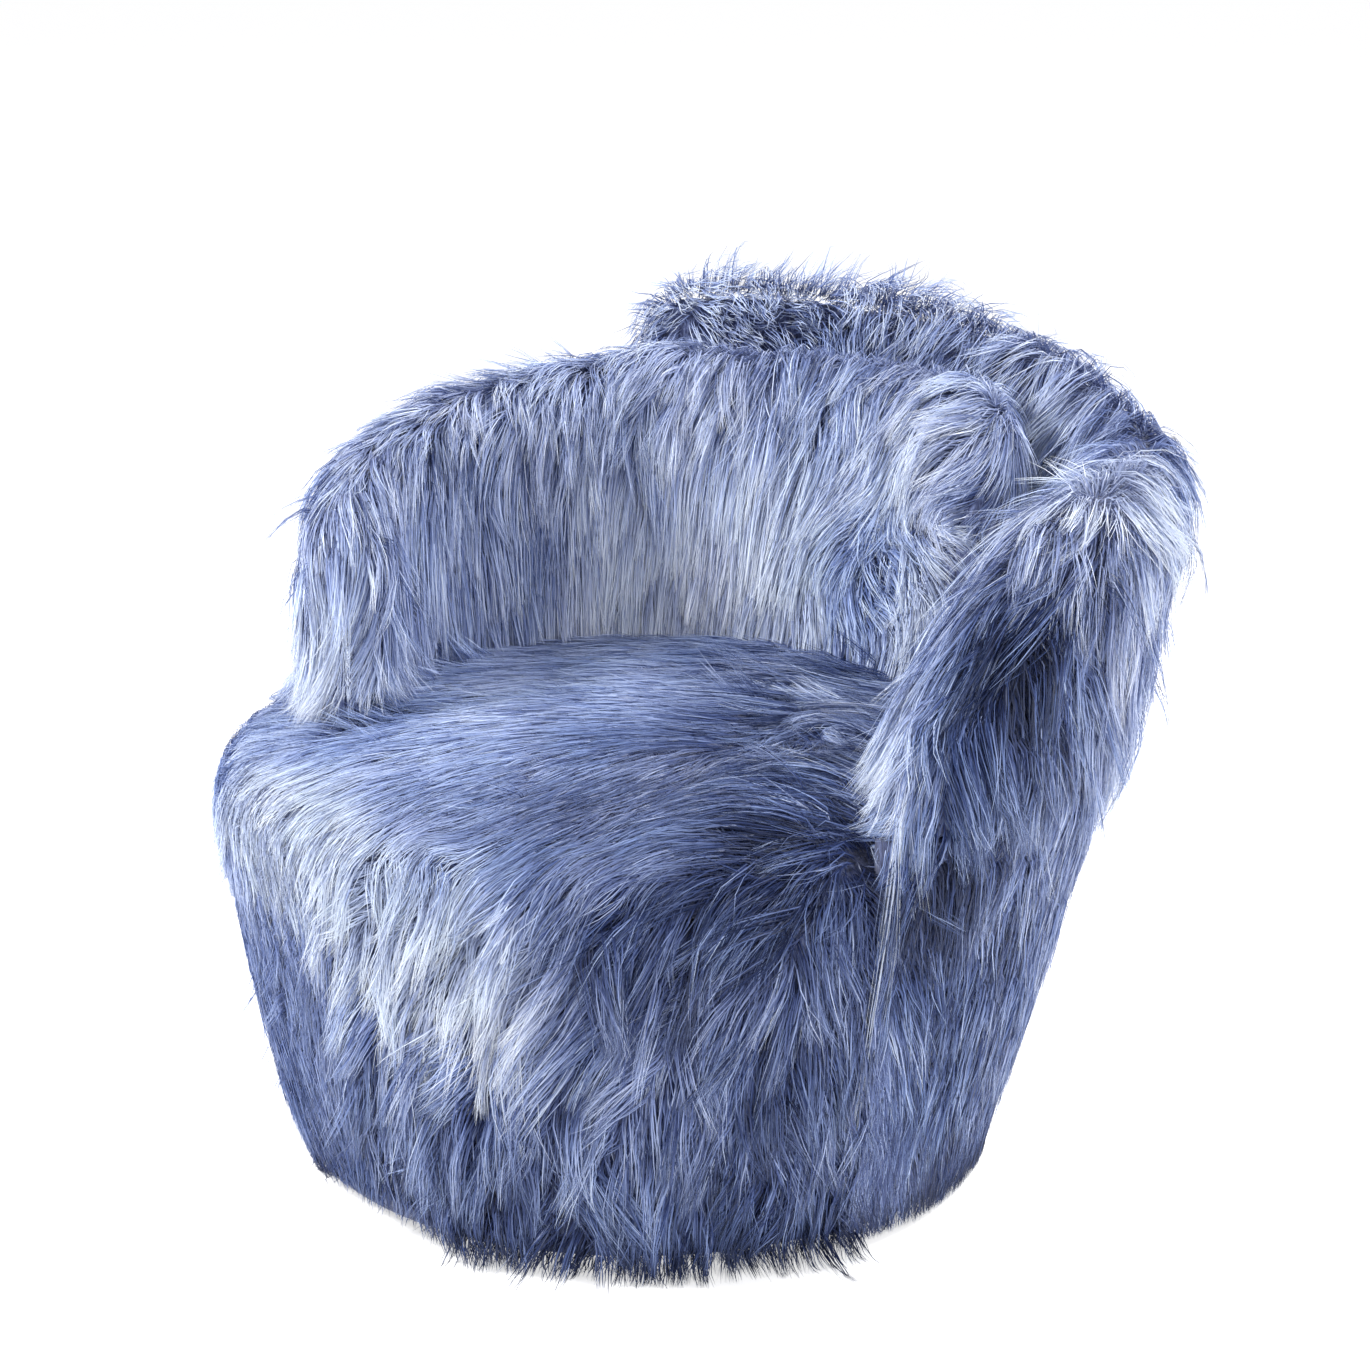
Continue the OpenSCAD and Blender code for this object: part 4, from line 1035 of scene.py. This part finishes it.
def timber_grain():
    """Growth lines and short pores of wood. The input vector is squeezed along the grain."""
    tree, start = detail("timber_grain", {"Lines": "Float"}, ("Grain", "Pores"))
    calc = partial(maths, tree)
    broad = cloudy(tree, start["Vector"], start["Lines"], 4, 0.6, 0.6)
    fine = cloudy(tree, start["Vector"], calc("MULTIPLY", start["Lines"], 7), 2)
    rings = calc("FRACT", calc("MULTIPLY", broad, 5))
    rings = calc("MULTIPLY", rings, calc("SUBTRACT", 1, rings))
    grain = calc("MULTIPLY_ADD", rings, 2.2, calc("MULTIPLY", fine, 0.45))
    put(tree, "NodeGroupOutput", {"Grain": grain, "Pores": within(tree, fine, 0.64, 0.72)})
    return tree


def ply_layers():
    """Layers and glue lines of plywood along a depth, where the face looks along the board's edge."""
    tree, start = group_of("ply_layers", "ShaderNodeTree", {"Depth": "Float", "Ply": "Float"},
                           {"Layer": "Float", "Glue": "Float"})
    calc = partial(maths, tree)
    count = calc("DIVIDE", start["Depth"], start["Ply"])
    glue = calc("LESS_THAN", calc("FRACT", count), 0.14)
    layer = calc("FLOORED_MODULO", calc("FLOOR", count), 2)
    put(tree, "NodeGroupOutput", {"Layer": layer, "Glue": glue})
    return tree


def plated_bloom():
    """Crystal patches and fine rubbed lines of a plated surface."""
    tree, start = detail("plated_bloom", {"Patch Scale": "Float"}, ("Patch", "Rub"))
    cells = put(tree, "ShaderNodeTexVoronoi", {"Vector": start["Vector"], "Scale": start["Patch Scale"]})
    rub = cloudy(tree, squeezed(tree, start["Vector"], (6, 6, 0.6)), 140, 2)
    put(tree, "NodeGroupOutput", {"Patch": axes_of(tree, cells["Color"])[0], "Rub": rub})
    return tree


def moulded_skin():
    """Fine sparkle of a moulded surface and the scuffs of use."""
    tree, start = detail("moulded_skin", {}, ("Sparkle", "Scuff"))
    scuff = cloudy(tree, squeezed(tree, start["Vector"], (1, 1, 4)), 90, 5, 0.7, 1.5)
    put(tree, "NodeGroupOutput", {"Sparkle": cloudy(tree, start["Vector"], 1600, 2),
                                  "Scuff": within(tree, scuff, 0.6, 0.68)})
    return tree


def settled_dust():
    """Dust on what looks up."""
    tree, start = detail("settled_dust", {}, ("Dust",))
    up = within(tree, upright_of(tree), 0.55, 0.95)
    speck = within(tree, cloudy(tree, start["Vector"], 420, 4, 0.7), 0.42, 0.75)
    put(tree, "NodeGroupOutput", {"Dust": maths(tree, "MULTIPLY", up, speck)})
    return tree


def strap_weave():
    """Over and under of a plain weave in the plane of the straps, with uneven threads."""
    tree, start = detail("strap_weave", {"Pitch": "Float"}, ("Rise", "Thread"))
    calc = partial(maths, tree)
    x, y, _ = axes_of(tree, start["Vector"])
    u, v = [calc("DIVIDE", k, start["Pitch"]) for k in (x, y)]
    odd = calc("FLOORED_MODULO", calc("ADD", calc("FLOOR", u), calc("FLOOR", v)), 2)
    humps = [calc("ABSOLUTE", calc("SINE", calc("MULTIPLY", k, math.pi))) for k in (u, v)]
    rise = calc("ADD", calc("MULTIPLY", humps[0], odd),
                calc("MULTIPLY", humps[1], calc("SUBTRACT", 1, odd)))
    put(tree, "NodeGroupOutput", {"Rise": rise, "Thread": cloudy(tree, start["Vector"], 900, 3, 0.7)})
    return tree


def coated(tree, colour, rough, height, depth, **more):
    """The shader at the end of a finish. Each value is a number, a colour or a socket."""
    bump = put(tree, "ShaderNodeBump", {"Distance": depth, "Height": height})[0]
    labels = {"metal": "Metallic", "coat": "Coat Weight", "sheen": "Sheen Weight"}
    shader = put(tree, "ShaderNodeBsdfPrincipled", {
        "Base Color": colour, "Roughness": rough, "Normal": bump,
        **{labels[k]: value for k, value in more.items()}})[0]
    put(tree, "ShaderNodeOutputMaterial", {"Surface": shader})


def plywood_material(name, bent):
    """Raw birch plywood: a board shows its layers round its rim, a bent wall along its long edges."""
    material, tree = started(name)
    squeeze = (1, 1, 0.1) if bent else (0.1, 1, 1)
    grain = grouped(tree, "timber_grain", Vector=on_object(tree, squeeze), Lines=26)
    face = ramp(tree, grain["Grain"], ((0.1, (0.46, 0.32, 0.17)), (0.55, (0.62, 0.46, 0.28)),
                                       (0.9, (0.72, 0.57, 0.37))))
    level = maths(tree, "ABSOLUTE", upright_of(tree))
    if bent:
        level_place = on_object(tree, (1, 1, 0))
        depth = put(tree, "ShaderNodeVectorMath", {0: level_place}, operation="LENGTH")["Value"]
        rim = maths(tree, "GREATER_THAN", level, 0.7)
    else:
        depth = axes_of(tree, on_object(tree))[2]
        rim = maths(tree, "LESS_THAN", level, 0.5)
    plies = grouped(tree, "ply_layers", Depth=depth, Ply=0.0013)
    band = mixed_colour(tree, plies["Layer"], (0.66, 0.50, 0.30), (0.43, 0.29, 0.16))
    band = mixed_colour(tree, plies["Glue"], band, (0.16, 0.09, 0.05))
    colour = veiled(tree, grain["Pores"], 0.5, mixed_colour(tree, rim, face, band), (0.25, 0.15, 0.08))
    dust = grouped(tree, "settled_dust", Vector=on_object(tree))["Dust"]
    colour = veiled(tree, dust, 0.35, colour, (0.62, 0.60, 0.56))
    rough = maths(tree, "MULTIPLY_ADD", grain["Pores"], 0.2, 0.58)
    coated(tree, colour, rough, grain["Grain"], 0.00015)
    return material


def hardwood_material():
    """Planed hardwood with its grain upright."""
    material, tree = started("planed_hardwood")
    grain = grouped(tree, "timber_grain", Vector=on_object(tree, (1, 1, 0.06)), Lines=60)
    colour = ramp(tree, grain["Grain"], ((0.1, (0.50, 0.35, 0.20)), (0.6, (0.66, 0.50, 0.32)),
                                         (0.95, (0.74, 0.60, 0.42))))
    colour = veiled(tree, grain["Pores"], 0.55, colour, (0.28, 0.18, 0.10))
    coated(tree, colour, maths(tree, "MULTIPLY_ADD", grain["Pores"], 0.2, 0.5), grain["Grain"], 0.0001)
    return material


def stained_material():
    """Black stain over wood: the grain shows in the sheen, and scuffs and dust show it pale."""
    material, tree = started("black_stain")
    grain = grouped(tree, "timber_grain", Vector=on_object(tree, (0.15, 0.15, 1)), Lines=40)
    colour = ramp(tree, grain["Grain"], ((0.1, (0.022, 0.019, 0.017)), (0.6, (0.045, 0.040, 0.036)),
                                         (0.95, (0.075, 0.064, 0.054))))
    dust = grouped(tree, "settled_dust", Vector=on_object(tree))["Dust"]
    colour = veiled(tree, dust, 0.3, colour, (0.30, 0.29, 0.28))
    scuff = grouped(tree, "moulded_skin", Vector=on_object(tree))["Scuff"]
    colour = veiled(tree, scuff, 0.4, colour, (0.12, 0.10, 0.085))
    rough = maths(tree, "MULTIPLY_ADD", grain["Grain"], 0.16, 0.36)
    coated(tree, colour, rough, grain["Grain"], 0.0001, coat=0.15)
    return material


def plated_material(name, dark, light, patches, rough, tarnish):
    """A plated or polished metal, with its crystal patches, rubbed lines and a little tarnish."""
    material, tree = started(name)
    bloom = grouped(tree, "plated_bloom", Vector=on_object(tree), **{"Patch Scale": patches})
    film = within(tree, cloudy(tree, on_object(tree), 35, 5, 0.65), 0.5, 0.7)
    colour = veiled(tree, film, 0.5, mixed_colour(tree, bloom["Patch"], dark, light), tarnish)
    gloss = maths(tree, "MULTIPLY_ADD", bloom["Rub"], 0.16, rough)
    gloss = maths(tree, "MULTIPLY_ADD", film, 0.12, gloss)
    coated(tree, colour, gloss, bloom["Rub"], 0.00003, metal=1.0)
    return material


def moulded_material(name, colour, worn, rough):
    """Matte nylon with scuffs."""
    material, tree = started(name)
    skin = grouped(tree, "moulded_skin", Vector=on_object(tree))
    shade = within(tree, cloudy(tree, on_object(tree), 60, 3), 0.3, 0.7)
    shown = mixed_colour(tree, shade, [0.86 * k for k in colour], colour)
    shown = veiled(tree, skin["Scuff"], 0.6, shown, worn)
    coated(tree, shown, maths(tree, "MULTIPLY_ADD", skin["Scuff"], 0.2, rough), skin["Sparkle"], 0.00004)
    return material


def cambric_material():
    """Black non-woven cloth: pressed fibres in all directions."""
    material, tree = started("black_cambric")
    place = on_object(tree)
    fibres = [cloudy(tree, squeezed(tree, place, s), 1500, 3, 0.6, 2.0) for s in ((1, 0.25, 1), (0.25, 1, 1))]
    web = maths(tree, "MAXIMUM", *fibres)
    colour = ramp(tree, web, ((0.4, (0.010, 0.010, 0.012)), (0.6, (0.035, 0.035, 0.040)),
                              (0.75, (0.085, 0.085, 0.095))))
    coated(tree, colour, 0.85, web, 0.0002, sheen=0.3)
    return material


def jute_material():
    """Webbing straps in a plain weave."""
    material, tree = started("jute_webbing")
    weave = grouped(tree, "strap_weave", Vector=on_object(tree), Pitch=0.0022)
    colour = ramp(tree, weave["Thread"], ((0.3, (0.40, 0.32, 0.20)), (0.5, (0.60, 0.51, 0.35)),
                                          (0.7, (0.74, 0.66, 0.49))))
    # Painted shade: the weave is darker where its threads dip under, in the hollows between them
    colour = mixed_colour(tree, within(tree, weave["Rise"], 0.0, 0.7), (0.20, 0.15, 0.09), colour)
    coated(tree, colour, 0.88, weave["Rise"], 0.0005, sheen=0.2)
    return material


def backing_material():
    """The cloth that the pile grows from, with short dense underfur over it, kept dark as painted shade deep
    in the pile.
    """
    material, tree = started("fur_backing")
    nap = cloudy(tree, squeezed(tree, on_object(tree), (1, 1, 0.14)), 260, 4, 0.65, 0.4)
    patch = cloudy(tree, on_object(tree), 22, 2)
    value = maths(tree, "MULTIPLY_ADD", patch, 0.25, maths(tree, "MULTIPLY", nap, 0.75))
    colour = ramp(tree, value, ((0.36, (0.012, 0.018, 0.05)), (0.5, (0.07, 0.09, 0.21)),
                                (0.62, (0.22, 0.27, 0.48))))
    coated(tree, colour, 0.8, nap, 0.003, sheen=0.3)
    return material


# Covers under the pile

COVER_IN = 0.017
COVER_VOXEL = 0.006
SWELL = 0.006
KEPT_FACES = 0.45


def ring_faces(rows, columns, round_rows):
    """Faces of a grid whose columns close into loops, and whose rows may close too."""
    i, j = np.meshgrid(np.arange(rows if round_rows else rows - 1), np.arange(columns), indexing="ij")
    a = i * columns + j
    b = i * columns + (j + 1) % columns
    up = ((i + 1) % rows) * columns
    return np.stack([a, b, up + (j + 1) % columns, up + j], 2).reshape(-1, 4).tolist()


def reshaped(mesh, *changes):
    """Makes changes to a mesh in bmesh, each a function of its form, and turns its faces outward."""
    form = bmesh.new()
    form.from_mesh(mesh)
    for change in changes:
        change(form)
    bmesh.ops.recalc_face_normals(form, faces=form.faces)
    form.to_mesh(mesh)
    form.free()


def smooth_piece(name, mesh, material):
    mesh.polygons.foreach_set("use_smooth", [True] * len(mesh.polygons))
    mesh.materials.append(material)
    return seat_piece(name, mesh)


def cover_piece(name, points, round_rows, material):
    """A closed cover from loops of points. Loops that shrink to a line or a point are merged shut."""
    mesh = bpy.data.meshes.new(name)
    mesh.from_pydata(points.reshape(-1, 3).tolist(), [], ring_faces(*points.shape[:2], round_rows))
    reshaped(mesh, lambda form: bmesh.ops.remove_doubles(form, verts=form.verts, dist=0.0002))
    return smooth_piece(name, mesh, material)


def corners_of(mesh):
    corners = np.empty(len(mesh.vertices) * 3)
    mesh.vertices.foreach_get("co", corners)
    return corners.reshape(-1, 3)


def fill(piece, held_below):
    """Swells a cover over its foam: cloth pressure from inside, held where it is stapled down."""
    remesh = piece.modifiers.new("even", "REMESH")
    remesh.mode = "VOXEL"
    remesh.voxel_size = COVER_VOXEL
    remesh.use_smooth_shade = True
    shown = piece.evaluated_get(bpy.context.evaluated_depsgraph_get())
    even = bpy.data.meshes.new_from_object(shown)
    piece.modifiers.remove(remesh)
    even.name = piece.name
    piece.data = even
    start = corners_of(even)
    held = piece.vertex_groups.new(name="stapled")
    held.add(np.where(start[:, 2] < held_below)[0].tolist(), 1.0, "REPLACE")
    cloth = piece.modifiers.new("fill", "CLOTH")
    cloth.settings.quality = 3
    cloth.settings.mass = 0.3
    cloth.settings.use_pressure = True
    cloth.settings.uniform_pressure_force = 4
    cloth.settings.vertex_group_mass = "stapled"
    cloth.settings.effector_weights.gravity = 0
    for step in range(1, 21):
        bpy.context.scene.frame_set(step)
    shown = piece.evaluated_get(bpy.context.evaluated_depsgraph_get())
    moved = corners_of(shown.data) - start
    far = np.linalg.norm(moved, axis=1, keepdims=True)
    moved = moved * np.minimum(1, SWELL / np.maximum(far, 1e-9))
    piece.modifiers.remove(cloth)
    piece.vertex_groups.clear()
    piece.data.vertices.foreach_set("co", (start + moved).ravel())
    piece.data.update()
    bpy.context.scene.frame_set(1)
    # The pile hides this surface, so it needs fewer faces than the simulation did
    piece.modifiers.new("fewer", "DECIMATE").ratio = KEPT_FACES


def turned(profile, steps=160):
    """Loops of a profile turned round the chair's axis."""
    turn = np.linspace(0, 2 * math.pi, steps + 1)[:-1, None]
    radius, height = np.array(profile).T
    return np.stack([radius * np.cos(turn), radius * np.sin(turn), height + 0 * turn], 2)


def seat_profile(sheet):
    """The crowned cushion: over the top, down its boxed edge, under a short lip and back along its base."""
    skin, up = sheet.place(np.column_stack([sheet.reach[::8], 0 * sheet.reach[::8]]))[:2]
    skin = skin - COVER_IN * up
    top = [(max(p[0], 0), p[2]) for p in skin if p[2] > 0.349]
    lip = [(0.3626, 0.344), (0.3618, 0.3390), (0.358, 0.3362), (0.350, 0.3362), (0.3466, 0.3395),
           (0.3464, 0.3486)]
    base = [(r, 0.3486) for r in np.linspace(0.335, 0, 12)]
    return top + lip + base


def drum_profile():
    """The drum's cover: down its outer face, round the hem and up inside."""
    z = np.linspace(0.3325, 0.022, 28)
    outer = list(zip(drum_side(z) - COVER_IN, z))
    hem = [(float(drum_side(level)) - inward, height) for level, inward, height in (
        (0.016, 0.019, 0.0165), (0.014, 0.025, 0.0148), (0.016, 0.031, 0.0165))]
    inner = list(zip(drum_side(z[::-1]) - 0.0338, z[::-1]))
    return outer + hem + inner


def skirt_loops():
    """The panel under the outer wing, from its face to the drum's cover behind it."""
    angles, grown = wing_angles(OUTER_SPAN)
    z = np.linspace(0.3895, 0.016, 28)
    back = np.where(z > 0.334, 0.3645, drum_side(z) - COVER_IN + 0.0008)
    face = table(SKIRT, (z - HEM) / (SKIRT_TOP - HEM)) * skirt_foot(angles)[:, None] - COVER_IN
    face = mixed(back, np.maximum(face, back + 0.003), grown[:, None] ** 0.5)
    radius = np.concatenate([face, np.tile(back[::-1], (len(angles), 1))], 1)
    height = np.tile(np.concatenate([z, z[::-1]]), (len(angles), 1))
    return swept(angles, radius, height)


# Webbing and dust cover

STRAP_WIDE = 0.05
STRAP_STEP = 0.07665
STRAP_REACH = 0.2555
STRAP_Z = 0.346
STAPLES = 44


def strap_loops(offset, half, weave, across):
    """Loops along one strap that rides over and under its neighbours."""
    along = np.linspace(-half, half, 67)
    share = np.clip(along / STRAP_STEP, -2.5, 2.5)
    wave = 0.00072 * weave * np.cos(math.pi * share) * smooth_step(2.45, 2.2, np.abs(share))
    turn = np.linspace(0, 2 * math.pi, 13)[:-1]
    side = np.sign(np.cos(turn)) * np.abs(np.cos(turn)) ** 0.35 * STRAP_WIDE / 2
    thick = np.sin(turn) * 0.00068
    curl = 0.00012 * (2 * side / STRAP_WIDE) ** 4
    height = STRAP_Z + wave[:, None] + thick + curl
    lane = offset + side + 0 * along[:, None]
    run = along[:, None] + 0 * side
    return np.stack((run, lane, height) if across else (lane, run, height), 2)


def strap_piece(name, number, across, material):
    offset = number * STRAP_STEP
    edge = abs(offset) + STRAP_WIDE / 2
    half = math.sqrt(STRAP_REACH ** 2 - edge ** 2)
    weave = (1 if number % 2 else -1) * (1 if across else -1)
    piece = cover_piece(name, strap_loops(offset, half, weave, across), False, material)
    reshaped(piece.data, lambda form: bmesh.ops.holes_fill(form, edges=form.edges, sides=0))
    return piece


def dust_cover_piece(material):
    """A ring of cloth under the deck, stapled at its rim, with its inner edge folded under."""
    reach = np.concatenate([np.linspace(0.2925, 0.2138, 22), [0.2131], np.linspace(0.2138, 0.2262, 6)])
    low = np.concatenate([np.full(22, 0.0766), [0.07625], np.full(6, 0.0759)])
    turn = np.linspace(0, 2 * math.pi, 177)[:-1, None]
    slack = 0.0005 * np.sin(turn * STAPLES / 2) ** 2 * smooth_step(0.2925, 0.27, reach)
    slack = slack * smooth_step(0.2131, 0.22, reach) + 0.0001 * np.sin(turn * 5) * (reach < 0.28)
    points = np.stack([reach * np.cos(turn), reach * np.sin(turn), low - slack], 2)
    faces = [f for f in ring_faces(*points.shape[:2], True) if (f[1] - f[0]) == 1]
    mesh = bpy.data.meshes.new("dust_cloth")
    mesh.from_pydata(points.reshape(-1, 3).tolist(), [], faces)
    piece = smooth_piece("dust_cloth", mesh, material)
    wall = piece.modifiers.new("cloth", "SOLIDIFY")
    wall.thickness = 0.0003
    wall.offset = 0
    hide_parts("dust_cover")


def staple_tree(material):
    """A ring of wire staples, each a little out of line."""
    tree, start = group_of("stapled_rim", "GeometryNodeTree", {
        "Geometry": "Geometry", "Count": "Int", "Rim Radius": "Float", "Level": "Float",
        "Staple Length": "Float", "Wire": "Float", "Askew": "Float", "Seed": "Int"}, {"Geometry": "Geometry"})

    def vector(**parts):
        return put(tree, "ShaderNodeCombineXYZ", parts)[0]

    def circle(radius, steps):
        return put(tree, "GeometryNodeCurvePrimitiveCircle", {"Resolution": steps, "Radius": radius})[0]

    rim = circle(start["Rim Radius"], 128)
    spots = put(tree, "GeometryNodeCurveToPoints", {"Curve": rim, "Count": start["Count"]})
    askew = vector(X=either_way(tree, start["Askew"], {"Seed": start["Seed"]}))
    turn = put(tree, "FunctionNodeEulerToRotation", {0: askew})[0]
    way = put(tree, "FunctionNodeRotateRotation", {0: spots["Rotation"], 1: turn}, rotation_space="LOCAL")[0]
    half = maths(tree, "MULTIPLY", start["Staple Length"], 0.5)
    wire = put(tree, "GeometryNodeCurvePrimitiveLine", {
        "Start": vector(Z=maths(tree, "MULTIPLY", half, -1)), "End": vector(Z=half)})[0]
    section = circle(maths(tree, "MULTIPLY", start["Wire"], 0.5), 8)
    bar = put(tree, "GeometryNodeCurveToMesh", {
        "Curve": wire, "Profile Curve": section, "Fill Caps": True})[0]
    ring = put(tree, "GeometryNodeInstanceOnPoints", {
        "Points": spots["Points"], "Instance": bar, "Rotation": way})[0]
    rise = vector(Z=start["Level"])
    lifted = put(tree, "GeometryNodeTransform", {"Geometry": ring, "Translation": rise})[0]
    given_out(tree, lifted, material)
    return tree


# Finishes on the CAD model's own parts

shared = {}
for make in (timber_grain, ply_layers, plated_bloom, moulded_skin, settled_dust, strap_weave):
    shared[make.__name__] = make()
ply_board = plywood_material("plywood_board", False)
ply_bent = plywood_material("bent_plywood", True)
hardwood = hardwood_material()
stained = stained_material()
zinc = plated_material("zinc_plate", (0.47, 0.48, 0.50), (0.66, 0.67, 0.70), 260, 0.30, (0.62, 0.62, 0.60))
bright = plated_material("bright_fixing", (0.62, 0.62, 0.64), (0.80, 0.80, 0.82), 900, 0.22,
                         (0.72, 0.68, 0.56))
ball = plated_material("ball_steel", (0.72, 0.72, 0.74), (0.84, 0.84, 0.86), 1500, 0.06, (0.66, 0.62, 0.55))
nylon = moulded_material("cage_nylon", (0.68, 0.58, 0.34), (0.78, 0.70, 0.50), 0.42)
glide = moulded_material("glide_nylon", (0.030, 0.030, 0.035), (0.16, 0.16, 0.17), 0.5)
cambric = cambric_material()
jute = jute_material()
dress = (
    (stained, ("plinth_ring", "plinth_floor")), (ply_board, ("plinth_board", "base_deck", "seat_ring")),
    (ply_bent, ("drum_wall", "inner_wing_core", "outer_wing_core")),
    (hardwood, ("drum_posts", "wing_dowels")), (glide, ("plinth_glides",)),
    (zinc, ("lower_race_plate", "upper_race_plate")),
    (bright, ("plate_screws", "pivot_bolt", "pivot_nut", "plate_bolts")), (ball, ("race_balls",)),
    (nylon, ("ball_cage",)))
for finish, names in dress:
    for name in names:
        for face in nodes[name].material_slots:
            face.link = "OBJECT"
            face.material = finish

# The pile, the covers under it, and what the seat holds inside

fur = fur_material()
strands = sweep_tree(fur)
backing = backing_material()
drum_sheet = RoundSheet()
piles = {
    "drum_pile": grown_pile(drum_sheet, seat_flow, seat_look, 9000, 12, 11),
    "inner_pile": grown_pile(inner_wing_sheet(), inner_flow, inner_look, 9000, 9, 22),
    "outer_pile": grown_pile(outer_wing_sheet(), outer_flow, outer_look, 8200, 11, 33),
}
for k, (name, pile) in enumerate(piles.items()):
    if name != "drum_pile":
        clear_of_drum(pile[0], drum_sheet)
    pile_pieces(name, pile, strands, 100 * k)

crest_rings = 2 * len(RISE) - 1
inner_skin = inner_wing_sheet(COVER_IN).points[:, :crest_rings]
outer_skin = outer_wing_sheet(COVER_IN).points[:, :crest_rings]
covers = (
    ("seat_cover", turned(seat_profile(drum_sheet)), True, 0.352, 0.8, ("seat_fur", "seat_foam")),
    ("drum_cover", turned(drum_profile()), True, None, 0.9, ("drum_fur", "drum_padding")),
    ("skirt_cover", skirt_loops(), False, None, 0.5, ("skirt_fur",)),
    ("inner_wing_cover", inner_skin, False, 0.44, 0.9, ("inner_wing_fur", "inner_wing_foam")),
    ("outer_wing_cover", outer_skin, False, 0.43, 0.9, ("outer_wing_fur", "outer_wing_foam")),
)
for name, points, round_rows, held_below, fullness, stands_for in covers:
    cover = cover_piece(name, points, round_rows, backing)
    if held_below:
        fill(cover, held_below)
    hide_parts(*stands_for)

straps = {"under": [], "over": []}
for layer, made in straps.items():
    for number in range(-2, 3):
        made.append(strap_piece(f"strap_{layer}_{number + 3}", number, layer == "over", jute))
    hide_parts("webbing_" + layer)
dust_cover_piece(cambric)
host = bpy.data.objects.new("staple_host", bpy.data.meshes.new("staple_host"))
bpy.context.scene.collection.objects.link(host)
staples = node_mesh("staples", host, staple_tree(bright), {
    "Count": STAPLES, "Rim Radius": 0.2855, "Level": 0.0761, "Staple Length": 0.010, "Wire": 0.0007,
    "Askew": 0.12, "Seed": 5})
seat_piece("dust_cloth_staples", staples)
